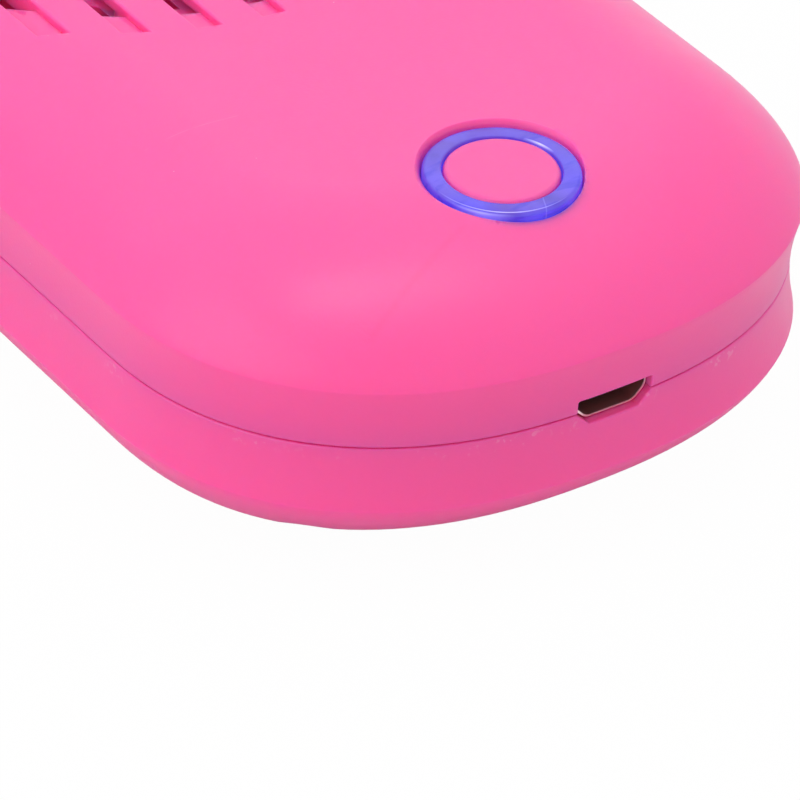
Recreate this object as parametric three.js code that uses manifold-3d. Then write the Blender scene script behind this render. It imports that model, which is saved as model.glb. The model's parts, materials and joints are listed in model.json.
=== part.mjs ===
// Eyelash dryer fan: a hand-held blower with a slotted grille, one lit push button and a charging port.
// Millimetres, +Z up, +Y towards the air outlet. The fan lies on its back, origin under its middle.
import * as THREE from 'three';
import { mergeVertices } from 'three/addons/utils/BufferGeometryUtils.js';
import Module from 'manifold-3d';

const wasm = await Module();
wasm.setup();

// Body form, measured from the parting plane of the two covers
const BODY_HALF_WIDTH = 33.8;
const END_DEPTH = 28.7; // length of each rounded end
const END_SIDE_POWER = 2.36;
const END_TIP_POWER = 2.23;
const WAIST_HEIGHT = 6.2; // parting plane to the crease under each dome
const WAIST_HOLLOW = 0.75; // how far the parting line lies inside the creases
const TOP_DOME = 8.6;
const TOP_SIDE_ROUND = 16.5;
const TOP_END_ROUND = 20.5;
const BOTTOM_DOME = 8.6;
const BOTTOM_SIDE_ROUND = 12.1;
const BOTTOM_END_ROUND = 15.1;
const SHOULDER_POWER = 1.54;
const WALL = 2.2;
const PARTING_GAP = 0.3;
const LIP_THICKNESS = 0.9;
const LIP_HEIGHT = 1.5;
const RIB_MERGE = 0.4; // how far ribs sink into the wall that carries them

// Shared clearances and overrun
const FIT = 0.3;
const CLOSE_FIT = 0.15;
const RUNNING_FIT = 0.05;
const OVERRUN = 2; // what every cut runs past the face that it opens

// Grille slots over the fan
const SLOT_COUNT = 8;
const SLOT_PITCH = 6.3;
const SLOT_WIDTH = 2.3;
const SLOT_OVERHANG = 2; // rim of the impeller to the end of a middle slot
const SLOT_END_RADIUS = 35.5; // the arc that the slot ends follow
const SHELF_LENGTH = 3;
const SHELF_DEPTH = 0.75;

// Air duct: a spiral wall, moulded half in each cover, and the mouth at the head
const DUCT_WALL = 1.4;
const TONGUE_ANGLE = 120;
const TONGUE_GAP = 0.7; // impeller to the duct wall at the tongue
const VOLUTE_SWEEP = 240;
const VOLUTE_GROWTH = 6.08;
const THROAT_LENGTH = 9.7; // impeller to the outlet grille
const DUCT_BEND = 17; // fan centre to the corner that the outer duct wall rounds
const MOUTH_HALF_WIDTH = 19;
const MOUTH_HALF_HEIGHT = 5.6;
const INLET_LAP = 1.8; // how far the inlet collar lies outside the impeller's eye
const INLET_WALL = 1.2;
const INLET_GAP = 1.1; // collar to impeller

// Outlet grille
const OUTLET_DEPTH = 7.2;
const OUTLET_SETBACK = 1;
const OUTLET_FRAME = 1.2;
const OUTLET_FLANGE = 1.1;
const VANE_COUNT = 5;
const VANE_THICKNESS = 1;

// Case screws in their bosses
const CASE_SCREW_INSET = 11; // side of the body to a screw
const CASE_SCREW_FROM_END = 12.5;
const CASE_BOSS_RADIUS = 2.7;
const SCREW_WELL_RADIUS = 2.7;
const SCREW_WELL_WALL = 1.1;
const SCREW_SEAT_HEIGHT = 5.3; // floor of the bottom cover to the seat of the screw head
const SCREW_HEAD_RADIUS = 2.2;
const SCREW_HEAD_HEIGHT = 1.3;
const SCREW_SHANK_RADIUS = 1;
const SCREW_BITE = 6; // how far a case screw reaches past the parting plane

// Push button: a clear ring lit from below round a cap
const BUTTON_FROM_TAIL = 17.8;
const RING_RADIUS = 7.15;
const RING_BORE = 5.38;
const RING_DROP = 0.4; // top of the body to the top of the ring
const RING_BEVEL = 0.55;
const RING_INNER_BEVEL = 0.22;
const RING_HEIGHT = 6.3;
const RING_FLANGE = 1.1;
const RING_FLANGE_THICKNESS = 1;
const RING_LEDGE = 1.4;
const RING_LEDGE_THICKNESS = 1;
const CAP_DROP = 0.25;
const CAP_THICKNESS = 1.9;
const CAP_EDGE = 0.3;
const CAP_STEM_RADIUS = 1.9;
const COLLAR_WALL = 1.4;
const SWITCH_SIDE = 6;
const SWITCH_HEIGHT = 3.6;
const SWITCH_FRAME = 0.3;
const PLUNGER_RADIUS = 1.75;
const PLUNGER_TOP = 7; // board to the top of the plunger
const PLUNGER_FOOT = 1.7; // board to the foot of the plunger
const PLUNGER_WELL = 1; // board to the floor of the plunger's well

// Circuit board and what stands on it
const BOARD_THICKNESS = 1.2;
const BOARD_FROM_TAIL = 3.6;
const BOARD_MARGIN = 3; // chips to the head edge of the board
const BOARD_TAIL_RADIUS = 12;
const BOARD_CORNER_RADIUS = 1.5;
const BOARD_SIDE_GAP = 0.6; // case screw bosses to the board
const BOARD_SCREW_INSET = 6; // side edge of the board to a screw
const BOARD_SCREW_FROM_TAIL = 8.5;
const BOARD_BOSS_RADIUS = 2.3;
const BOARD_SCREW_LENGTH = 5;
const BOARD_POST_RADIUS = 1.5;
const BOARD_POST_CLEARANCE = 1.1; // battery to a post
const BOARD_POST_EDGE = 0.4; // post to the side edge of the board
const LED_CIRCLE = 6.4;
const LED_COUNT = 4;
const LED_LENGTH = 1.6;
const LED_WIDTH = 0.9;
const LED_HEIGHT = 0.7;
const CHIP_LENGTH = 4.9;
const CHIP_WIDTH = 3.9;
const CHIP_HEIGHT = 1.5;
const CHIP_SPAN = 6;
const CHIP_CLEARANCE = 3.2; // switch to the chips
const CHIP_LEG_COUNT = 4;
const CHIP_LEG_PITCH = 1.27;
const CHIP_LEG_WIDTH = 0.42;
const CHIP_LEG_THICKNESS = 0.25;
const INDUCTOR_RADIUS = 2.9;
const INDUCTOR_WAIST = 1.5;
const INDUCTOR_HEIGHT = 4.2;
const INDUCTOR_FLANGE = 0.8;
const CAPACITOR_LENGTH = 2;
const CAPACITOR_WIDTH = 1.25;
const CAPACITOR_HEIGHT = 1;
const CAPACITOR_COUNT = 4;
const CAPACITOR_PITCH = 2.4;

// Charging port, a micro receptacle centred on the parting plane
const PORT_WIDTH = 7.7;
const PORT_HEIGHT = 2.44;
const PORT_FLAT = 5.2; // the narrow side, under the chamfers
const PORT_CHAMFER = 1.2;
const PORT_OFFSET = 0.5; // the port sits a little to one side of the middle
const PORT_SHELL = 0.28;
const PORT_DEPTH = 5.2;
const PORT_SETBACK = 0.85;
const PORT_GAP = 0.13;
const PORT_BLOCK = 1.5;
const TONGUE_WIDTH = 3.9;
const TONGUE_THICKNESS = 0.6;
const TONGUE_LENGTH = 2.9;
const CONTACT_COUNT = 5;
const CONTACT_PITCH = 0.65;
const CONTACT_WIDTH = 0.3;
const CONTACT_THICKNESS = 0.12;

// Battery with its guard board, tape, plug and leads
const BATTERY_FROM_TAIL = 14.2;
const BATTERY_LENGTH = 28;
const BATTERY_THICKNESS = 7.6;
const BATTERY_ROUND = 2.2;
const BATTERY_BEVEL = 0.8;
const TAPE_THICKNESS = 0.5;
const TAPE_MARGIN = 4.5;
const GUARD_LENGTH = 1.2;
const GUARD_HEIGHT = 4;
const GUARD_MARGIN = 4; // side of the battery to its guard board
const WIRE_GULLY = 2.9; // battery to the duct wall
const SOCKET_LENGTH = 3.8;
const SOCKET_WIDTH = 6;
const SOCKET_HEIGHT = 3.6;
const SOCKET_WALL = 0.6;
const PLUG_STAND = 1.2; // how far the plug stands out of its socket
const LEAD_RADIUS = 0.5;
const LEAD_SPACING = 1.8;

// Motor and impeller
const MOTOR_RADIUS = 10;
const MOTOR_HEIGHT = 8.5;
const MOTOR_ROUND = 1.2;
const MOTOR_PLATE = 1.6;
const MOTOR_PAD_RIM = 1.4; // how far the pad stands out round the motor
const MOTOR_PAD_HEIGHT = 1.2;
const MOTOR_SCREW_CIRCLE = 6.4;
const MOTOR_SCREW_LENGTH = 3.2;
const BUSH_RADIUS = 3;
const BUSH_HEIGHT = 0.9;
const SHAFT_RADIUS = 1;
const SHAFT_LENGTH = 15.6;
const WASHER_RADIUS = 2.2;
const WASHER_THICKNESS = 0.5;
const TERMINAL_WIDTH = 1.8;
const TERMINAL_LENGTH = 2.4;
const TERMINAL_THICKNESS = 0.4;
const TERMINAL_SPACING = 5;
const IMPELLER_RADIUS = 21;
const IMPELLER_BLADE_DEPTH = 5.4; // rim to eye
const IMPELLER_HEIGHT = 13.4;
const IMPELLER_DISC = 1.2;
const IMPELLER_HOOP_WIDTH = 1.7;
const IMPELLER_HOOP_HEIGHT = 1;
const IMPELLER_BOSS_RADIUS = 2.9;
const IMPELLER_BOSS_HEIGHT = 5;
const BLADE_COUNT = 20;
const BLADE_THICKNESS = 0.9;
const BLADE_LEAN = 13; // degrees that a blade's rim runs ahead of its root
const BLADE_BULGE = 1.1;

// Derived sizes: the battery, the duct round the fan and the outlet add up to the length of the body
const IMPELLER_EYE = IMPELLER_RADIUS - IMPELLER_BLADE_DEPTH;
const INLET_RADIUS = IMPELLER_EYE + INLET_LAP;
const SLOT_REACH = IMPELLER_RADIUS + SLOT_OVERHANG; // fan centre to the end of a middle slot
const VOLUTE_START = IMPELLER_RADIUS + TONGUE_GAP + DUCT_WALL / 2;
const VOLUTE_TAIL = VOLUTE_START + VOLUTE_GROWTH * (270 - TONGUE_ANGLE) / VOLUTE_SWEEP + DUCT_WALL / 2;
const FAN_FROM_TAIL = BATTERY_FROM_TAIL + BATTERY_LENGTH + WIRE_GULLY + VOLUTE_TAIL;
const BODY_LENGTH = FAN_FROM_TAIL + IMPELLER_RADIUS + THROAT_LENGTH + OUTLET_FLANGE + OUTLET_DEPTH;
const CASE_SCREW_SIDE = BODY_HALF_WIDTH - CASE_SCREW_INSET;
const MOTOR_PAD_RADIUS = MOTOR_RADIUS + MOTOR_PAD_RIM;
const BOARD_HALF_WIDTH = CASE_SCREW_SIDE - CASE_BOSS_RADIUS - BOARD_SIDE_GAP;
const BOARD_SCREW_SIDE = BOARD_HALF_WIDTH - BOARD_SCREW_INSET;
const BOARD_POST_SIDE = BOARD_HALF_WIDTH - BOARD_POST_EDGE - BOARD_POST_RADIUS;
const BATTERY_HALF_WIDTH = BOARD_POST_SIDE - BOARD_POST_RADIUS - BOARD_POST_CLEARANCE;
const GUARD_HALF_WIDTH = BATTERY_HALF_WIDTH - GUARD_MARGIN;

// Derived places
const TOP_Z = WAIST_HEIGHT + TOP_DOME;
const BOTTOM_Z = -WAIST_HEIGHT - BOTTOM_DOME;
const ROOF_Z = TOP_Z - WALL;
const FLOOR_Z = BOTTOM_Z + WALL;
const TAIL_Y = -BODY_LENGTH / 2;
const HEAD_Y = BODY_LENGTH / 2;
const FAN_Y = TAIL_Y + FAN_FROM_TAIL;
const BUTTON_Y = TAIL_Y + BUTTON_FROM_TAIL;
const BOARD_TOP = -PORT_HEIGHT / 2;
const BOARD_BOTTOM = BOARD_TOP - BOARD_THICKNESS;
const BOARD_TAIL = TAIL_Y + BOARD_FROM_TAIL;
const CHIP_ROW = BUTTON_Y + SWITCH_SIDE / 2 + CHIP_CLEARANCE + CHIP_SPAN / 2;
const BOARD_HEAD = CHIP_ROW + CHIP_SPAN / 2 + BOARD_MARGIN;
const RING_TOP = TOP_Z - RING_DROP;
const FLANGE_BOTTOM = RING_TOP - RING_HEIGHT;
const FLANGE_TOP = FLANGE_BOTTOM + RING_FLANGE_THICKNESS;
const BUTTON_HOLE = RING_RADIUS + FIT;
const CAP_TOP = RING_TOP - CAP_DROP;
const CAP_BOTTOM = CAP_TOP - CAP_THICKNESS;
const MOTOR_BASE = FLOOR_Z + MOTOR_PAD_HEIGHT;
const MOTOR_TOP = MOTOR_BASE + MOTOR_PLATE + MOTOR_HEIGHT;
const DISC_BASE = MOTOR_TOP + BUSH_HEIGHT + WASHER_THICKNESS + FIT;
const IMPELLER_TOP = DISC_BASE + IMPELLER_DISC + IMPELLER_BOSS_HEIGHT;
const IMPELLER_BASE = IMPELLER_TOP - IMPELLER_HEIGHT;
const SCREW_SEAT = FLOOR_Z + SCREW_SEAT_HEIGHT;
const PORT_FRONT = TAIL_Y + PORT_SETBACK;
const BATTERY_TAIL = TAIL_Y + BATTERY_FROM_TAIL;
const BATTERY_HEAD = BATTERY_TAIL + BATTERY_LENGTH;
const BATTERY_BASE = FLOOR_Z + TAPE_THICKNESS;
const BATTERY_TOP = BATTERY_BASE + BATTERY_THICKNESS;

// Facet counts
const END_STEPS = 16;
const DOME_STEPS = 6;
const WAIST_STEPS = 2;
const ROUND_STEPS = 24;
const SMALL_STEPS = 12;
const CORNER_STEPS = 6;
const VOLUTE_STEPS = 24;
const LEAD_SIDES = 6;

const finish = (color, roughness, metalness = 0) =>
  new THREE.MeshStandardMaterial({ color, roughness, metalness });
const pinkPlastic = finish(0xf54f97, 0.5);
const clearBlue = finish(0x5a4ee0, 0.2);
const whitePlastic = finish(0xece9e4, 0.45);
const blackPlastic = finish(0x1c1c1e, 0.5);
const steel = finish(0xb9bcc0, 0.3, 1);
const brass = finish(0xc9a24a, 0.35, 1);
const boardGreen = finish(0x1e5a3a, 0.5);
const copper = finish(0xb8703a, 0.4, 1);
const foil = finish(0xb4b8bc, 0.45, 0.6);
const foam = finish(0x2a2a2c, 0.9);
const ferrite = finish(0x3c3b3d, 0.6);
const redRubber = finish(0xc0202a, 0.5);
const blackRubber = finish(0x202022, 0.5);
const ceramic = finish(0xb98f63, 0.5);

const radians = THREE.MathUtils.degToRad;

// A closed mesh with shared corners, no collapsed faces, and its faces pointing out.
function closed(geometry) {
  geometry.deleteAttribute('normal');
  geometry.deleteAttribute('uv');
  const merged = mergeVertices(geometry);
  const position = merged.getAttribute('position');
  const [a, b, c] = [new THREE.Vector3(), new THREE.Vector3(), new THREE.Vector3()];
  const faces = [];
  let volume = 0;
  for (let i = 0; i < merged.index.count; i += 3) {
    const corner = [0, 1, 2].map((k) => merged.index.getX(i + k));
    if (new Set(corner).size < 3) continue;
    faces.push(corner);
    a.fromBufferAttribute(position, corner[0]);
    b.fromBufferAttribute(position, corner[1]);
    c.fromBufferAttribute(position, corner[2]);
    volume += a.dot(b.cross(c));
  }
  merged.setIndex(faces.flatMap((corner) => (volume < 0 ? corner.reverse() : corner)));
  return merged;
}

function solid(geometry) {
  const mesh = closed(geometry);
  return new wasm.Manifold(new wasm.Mesh({
    numProp: 3,
    vertProperties: Float32Array.from(mesh.getAttribute('position').array),
    triVerts: Uint32Array.from(mesh.index.array),
  }));
}

function geometryOf(manifold) {
  const mesh = manifold.getMesh();
  const geometry = new THREE.BufferGeometry();
  geometry.setAttribute('position', new THREE.BufferAttribute(mesh.vertProperties, mesh.numProp));
  geometry.setIndex(new THREE.BufferAttribute(mesh.triVerts, 1));
  return geometry;
}

const join = (first, ...others) => others.reduce((whole, piece) => whole.add(piece), first);
const cut = (first, ...others) => others.reduce((whole, piece) => whole.subtract(piece), first);

// Basic forms, each between two heights
function block(halfX, yFrom, yTo, zFrom, zTo, x = 0) {
  const geometry = new THREE.BoxGeometry(2 * halfX, yTo - yFrom, zTo - zFrom);
  return geometry.translate(x, (yFrom + yTo) / 2, (zFrom + zTo) / 2);
}

function rod(radius, x, y, zFrom, zTo, steps = SMALL_STEPS) {
  const geometry = new THREE.CylinderGeometry(radius, radius, zTo - zFrom, steps);
  return geometry.rotateX(Math.PI / 2).translate(x, y, (zFrom + zTo) / 2);
}

// An outline of [radius, height] pairs turned round a vertical axis at x, y
function turned(outline, x, y, steps = ROUND_STEPS) {
  const points = outline.map(([radius, height]) => new THREE.Vector2(radius, height));
  return new THREE.LatheGeometry(points, steps).rotateX(Math.PI / 2).translate(x, y, 0);
}

const ringOutline = (inner, outer, low, high) =>
  [[inner, low], [outer, low], [outer, high], [inner, high], [inner, low]];

function upright(shape, zFrom, zTo) {
  const geometry = new THREE.ExtrudeGeometry(shape, {
    depth: zTo - zFrom, bevelEnabled: false, curveSegments: CORNER_STEPS,
  });
  return geometry.translate(0, 0, zFrom);
}

// A shape drawn in x and height, run along the body from yFrom to yTo
function lengthwise(shape, yFrom, yTo) {
  const geometry = new THREE.ExtrudeGeometry(shape, { depth: yTo - yFrom, bevelEnabled: false });
  return geometry.rotateX(Math.PI / 2).translate(0, yTo, 0);
}

const outlineShape = (points) => new THREE.Shape(points.map(([x, y]) => new THREE.Vector2(x, y)));

function roundedRectangle(halfX, yFrom, yTo, tailRadius, headRadius) {
  const shape = new THREE.Shape();
  shape.moveTo(-halfX + tailRadius, yFrom);
  shape.absarc(halfX - tailRadius, yFrom + tailRadius, tailRadius, -Math.PI / 2, 0);
  shape.absarc(halfX - headRadius, yTo - headRadius, headRadius, 0, Math.PI / 2);
  shape.absarc(-halfX + headRadius, yTo - headRadius, headRadius, Math.PI / 2, Math.PI);
  shape.absarc(-halfX + tailRadius, yFrom + tailRadius, tailRadius, Math.PI, 1.5 * Math.PI);
  return shape;
}

// The body's plan: two superelliptic ends and straight sides, drawn in by the two insets
function planPoints(sideInset, endInset) {
  const points = [];
  for (const end of [-1, 1]) {
    for (let step = 0; step <= END_STEPS; step += 1) {
      const turn = Math.PI * (step / END_STEPS - 0.5);
      const across = Math.sign(turn) * Math.abs(Math.sin(turn)) ** (2 / END_SIDE_POWER);
      const along = Math.abs(Math.cos(turn)) ** (2 / END_TIP_POWER);
      const x = (BODY_HALF_WIDTH - sideInset) * across;
      const y = BODY_LENGTH / 2 - END_DEPTH + (END_DEPTH - endInset) * along;
      points.push([-end * x, end * y]);
    }
  }
  return points;
}

// A solid through level plans of the body, closed by a flat cap at each end
function loft(levels, side) {
  const rings = levels.map(({ sideInset, endInset, height }) =>
    planPoints(sideInset, endInset).map(([x, y]) => [x, y, side * height]));
  const count = rings[0].length;
  const corners = rings.flat(2);
  const faces = [];
  for (let level = 0; level + 1 < rings.length; level += 1) {
    for (let point = 0; point < count; point += 1) {
      const next = (point + 1) % count;
      const [a, b] = [level * count + point, level * count + next];
      faces.push(a, b, b + count, a, b + count, a + count);
    }
  }
  const centres = [rings[0][0][2], rings.at(-1)[0][2]];
  corners.push(0, 0, centres[0], 0, 0, centres[1]);
  const [low, high] = [rings.length * count, rings.length * count + 1];
  const last = (rings.length - 1) * count;
  for (let point = 0; point < count; point += 1) {
    const next = (point + 1) % count;
    faces.push(low, next, point, high, last + point, last + next);
  }
  const geometry = new THREE.BufferGeometry();
  geometry.setAttribute('position', new THREE.Float32BufferAttribute(corners, 3));
  geometry.setIndex(faces);
  return geometry;
}

const topDome = { rise: TOP_DOME, sideRound: TOP_SIDE_ROUND, endRound: TOP_END_ROUND };
const bottomDome = { rise: BOTTOM_DOME, sideRound: BOTTOM_SIDE_ROUND, endRound: BOTTOM_END_ROUND };

// Half of the body's form, drawn in by a depth: the hollow waist and then the dome above its crease
function domeLevels(dome, depth, start) {
  const levels = [];
  for (let step = 0; step <= WAIST_STEPS; step += 1) {
    const share = step / WAIST_STEPS;
    const flare = depth - WAIST_HOLLOW * share ** 2;
    const height = start + (WAIST_HEIGHT - start) * share;
    levels.push({ sideInset: flare, endInset: flare, height });
  }
  for (let step = 1; step <= DOME_STEPS; step += 1) {
    const turn = (Math.PI / 2) * (step / DOME_STEPS);
    const drawn = 1 - Math.cos(turn);
    levels.push({
      sideInset: depth - WAIST_HOLLOW + dome.sideRound * drawn,
      endInset: depth - WAIST_HOLLOW + dome.endRound * drawn,
      height: WAIST_HEIGHT + (dome.rise - depth) * Math.sin(turn) ** SHOULDER_POWER,
    });
  }
  return levels;
}

const halfBody = (dome, depth, start, side) => solid(loft(domeLevels(dome, depth, start), side));

// The body's plan drawn in by an inset and run between two heights
function planPrism(inset, zFrom, zTo) {
  const levels = [zFrom, zTo].map((height) => ({ sideInset: inset, endInset: inset, height }));
  return solid(loft(levels, 1));
}

const planBand = (outerInset, innerInset, zFrom, zTo) =>
  cut(planPrism(outerInset, zFrom, zTo), planPrism(innerInset, zFrom - OVERRUN, zTo + OVERRUN));

// Grille slots: their ends follow an arc, so each one is a strip with slanted ends
function slotStrips(reach, zFrom, zTo) {
  const endAt = (x) => reach - SLOT_END_RADIUS + Math.sqrt(SLOT_END_RADIUS ** 2 - x ** 2);
  const strips = [];
  for (let slot = 0; slot < SLOT_COUNT; slot += 1) {
    const middle = (slot - (SLOT_COUNT - 1) / 2) * SLOT_PITCH;
    const [left, right] = [middle - SLOT_WIDTH / 2, middle + SLOT_WIDTH / 2];
    const shape = outlineShape([
      [left, FAN_Y - endAt(left)], [right, FAN_Y - endAt(right)],
      [right, FAN_Y + endAt(right)], [left, FAN_Y + endAt(left)],
    ]);
    strips.push(solid(upright(shape, zFrom, zTo)));
  }
  return join(...strips);
}

// What the grille takes out of a cover: through slots, and a shallow shelf at both ends of each
function grilleCut(dome, side) {
  const far = side * (WAIST_HEIGHT + dome.rise + OVERRUN);
  const near = side * WAIST_HEIGHT;
  const [zFrom, zTo] = [Math.min(far, near), Math.max(far, near)];
  const shelves = slotStrips(SLOT_REACH, zFrom, zTo).subtract(halfBody(dome, SHELF_DEPTH, 0, side));
  return join(slotStrips(SLOT_REACH - SHELF_LENGTH, zFrom, zTo), shelves);
}

// Centre line of the duct wall, from the mouth round the tongue and the fan and back to the mouth
function ductLine() {
  const mouth = MOUTH_HALF_WIDTH + DUCT_WALL / 2;
  const throat = HEAD_Y - OUTLET_DEPTH - OUTLET_FLANGE - DUCT_WALL;
  const points = [new THREE.Vector2(-mouth, HEAD_Y), new THREE.Vector2(-mouth, throat)];
  for (let step = 0; step <= VOLUTE_STEPS; step += 1) {
    const share = step / VOLUTE_STEPS;
    const turn = radians(TONGUE_ANGLE + VOLUTE_SWEEP * share);
    const radius = VOLUTE_START + VOLUTE_GROWTH * share;
    points.push(new THREE.Vector2(radius * Math.cos(turn), FAN_Y + radius * Math.sin(turn)));
  }
  const end = points.at(-1);
  const bend = new THREE.QuadraticBezierCurve(
    end, new THREE.Vector2(end.x, FAN_Y + DUCT_BEND), new THREE.Vector2(mouth, throat));
  return [...points, ...bend.getPoints(SMALL_STEPS / 2).slice(1), new THREE.Vector2(mouth, HEAD_Y)];
}

// A wall of even thickness along a line of points
function wallShape(line, thickness) {
  const sides = [[], []];
  line.forEach((point, index) => {
    const before = line[Math.max(index - 1, 0)];
    const after = line[Math.min(index + 1, line.length - 1)];
    const arrive = (index ? point.clone().sub(before) : after.clone().sub(point)).normalize();
    const leave = (index + 1 < line.length ? after.clone().sub(point) : arrive.clone()).normalize();
    const across = arrive.clone().add(leave).normalize();
    const offset = new THREE.Vector2(-across.y, across.x);
    const reach = thickness / 2 / Math.max(across.dot(arrive), Math.SQRT1_2);
    sides[0].push(point.clone().addScaledVector(offset, reach));
    sides[1].unshift(point.clone().addScaledVector(offset, -reach));
  });
  return new THREE.Shape(sides.flat());
}

const ductWall = (zFrom, zTo) => solid(upright(wallShape(ductLine(), DUCT_WALL), zFrom, zTo));

const caseScrewPlaces = [-1, 1].flatMap((end) =>
  [-1, 1].map((side) => [side * CASE_SCREW_SIDE, end * (HEAD_Y - CASE_SCREW_FROM_END)]));
const boardScrewPlaces = [-1, 1].map((side) => [side * BOARD_SCREW_SIDE, TAIL_Y + BOARD_SCREW_FROM_TAIL]);
const boardPostPlaces = [-1, 1].map((side) => [side * BOARD_POST_SIDE, BOARD_HEAD - 2 * BOARD_POST_RADIUS]);
const motorScrewPlaces = [-1, 1].map((side) => [side * MOTOR_SCREW_CIRCLE, FAN_Y]);

// The charging port's outline grown by a gap: wide side up, chamfers down
function portShape(gap) {
  const [half, high] = [PORT_WIDTH / 2 + gap, PORT_HEIGHT / 2 + gap];
  const flat = PORT_FLAT / 2 + gap / 2;
  const corners = [
    [-half, high], [-half, -high + PORT_CHAMFER], [-flat, -high],
    [flat, -high], [half, -high + PORT_CHAMFER], [half, high],
  ];
  return outlineShape(corners.map(([x, z]) => [PORT_OFFSET + x, z]));
}

const portCut = () => solid(lengthwise(portShape(PORT_GAP), TAIL_Y - OVERRUN, TAIL_Y + WALL + OVERRUN));

const mouthCut = () => solid(block(
  MOUTH_HALF_WIDTH, HEAD_Y - OUTLET_DEPTH, HEAD_Y + OVERRUN, -MOUTH_HALF_HEIGHT, MOUTH_HALF_HEIGHT));

function topCover() {
  const rim = PARTING_GAP / 2;
  const hollow = halfBody(topDome, WALL, -OVERRUN, 1);
  const shell = cut(halfBody(topDome, 0, rim, 1), hollow, grilleCut(topDome, 1));
  const collarFoot = FLANGE_TOP + FIT;
  const inletCollar = ringOutline(INLET_RADIUS, INLET_RADIUS + INLET_WALL, IMPELLER_TOP + INLET_GAP, TOP_Z);
  const ribs = join(
    ductWall(rim, TOP_Z),
    solid(turned(inletCollar, 0, FAN_Y)),
    solid(rod(BUTTON_HOLE + COLLAR_WALL, 0, BUTTON_Y, collarFoot, TOP_Z, ROUND_STEPS)),
    ...caseScrewPlaces.map(([x, y]) => solid(rod(CASE_BOSS_RADIUS, x, y, rim, TOP_Z))),
  ).intersect(halfBody(topDome, WALL - RIB_MERGE, rim, 1));
  const bores = caseScrewPlaces.map(([x, y]) =>
    solid(rod(SCREW_SHANK_RADIUS + CLOSE_FIT, x, y, -OVERRUN, SCREW_BITE + FIT)));
  const lipSeat = planBand(WALL - LIP_THICKNESS - FIT, WALL + FIT, -OVERRUN, LIP_HEIGHT + FIT);
  return cut(join(shell, ribs), lipSeat, ...bores, portCut(), mouthCut(),
    solid(rod(BUTTON_HOLE, 0, BUTTON_Y, 0, TOP_Z + OVERRUN, ROUND_STEPS)));
}

function bottomCover() {
  const rim = PARTING_GAP / 2;
  const pad = solid(rod(MOTOR_PAD_RADIUS, 0, FAN_Y, BOTTOM_Z, MOTOR_BASE, ROUND_STEPS));
  const shell = cut(halfBody(bottomDome, 0, rim, -1), halfBody(bottomDome, WALL, -OVERRUN, -1));
  const slots = grilleCut(bottomDome, -1).subtract(pad);
  const wellWall = SCREW_WELL_RADIUS + SCREW_WELL_WALL;
  const ribs = join(
    ductWall(BOTTOM_Z, -rim),
    pad,
    ...caseScrewPlaces.map(([x, y]) => solid(rod(CASE_BOSS_RADIUS, x, y, BOTTOM_Z, -rim))),
    ...caseScrewPlaces.map(([x, y]) => solid(rod(wellWall, x, y, BOTTOM_Z, SCREW_SEAT + WALL))),
    ...boardScrewPlaces.map(([x, y]) => solid(rod(BOARD_BOSS_RADIUS, x, y, BOTTOM_Z, BOARD_BOTTOM))),
    ...boardPostPlaces.map(([x, y]) => solid(rod(BOARD_POST_RADIUS, x, y, BOTTOM_Z, BOARD_BOTTOM))),
  ).intersect(halfBody(bottomDome, WALL - RIB_MERGE, rim, -1));
  const lip = planBand(WALL - LIP_THICKNESS, WALL, -LIP_HEIGHT, LIP_HEIGHT);
  const wells = caseScrewPlaces.map(([x, y]) =>
    solid(rod(SCREW_WELL_RADIUS, x, y, BOTTOM_Z - OVERRUN, SCREW_SEAT)));
  const bores = caseScrewPlaces.map(([x, y]) =>
    solid(rod(SCREW_SHANK_RADIUS + CLOSE_FIT, x, y, SCREW_SEAT - OVERRUN, OVERRUN)));
  const boardBores = boardScrewPlaces.map(([x, y]) => solid(rod(
    SCREW_SHANK_RADIUS + CLOSE_FIT, x, y, BOARD_BOTTOM - BOARD_SCREW_LENGTH, BOARD_BOTTOM + OVERRUN)));
  const motorBores = motorScrewPlaces.flatMap(([x, y]) => [
    solid(rod(SCREW_SHANK_RADIUS + CLOSE_FIT, x, y, BOTTOM_Z - OVERRUN, MOTOR_BASE + OVERRUN)),
    solid(rod(SCREW_HEAD_RADIUS + CLOSE_FIT, x, y, BOTTOM_Z - OVERRUN, BOTTOM_Z + SCREW_HEAD_HEIGHT + FIT)),
  ]);
  const wireNotch = solid(block(
    LEAD_SPACING, FAN_Y - VOLUTE_START - VOLUTE_GROWTH - DUCT_WALL, FAN_Y - VOLUTE_START,
    FLOOR_Z, FLOOR_Z + 6 * LEAD_RADIUS));
  return cut(join(cut(shell, slots), ribs, lip), ...wells, ...bores, ...boardBores, ...motorBores,
    portCut(), mouthCut(), wireNotch);
}

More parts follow.
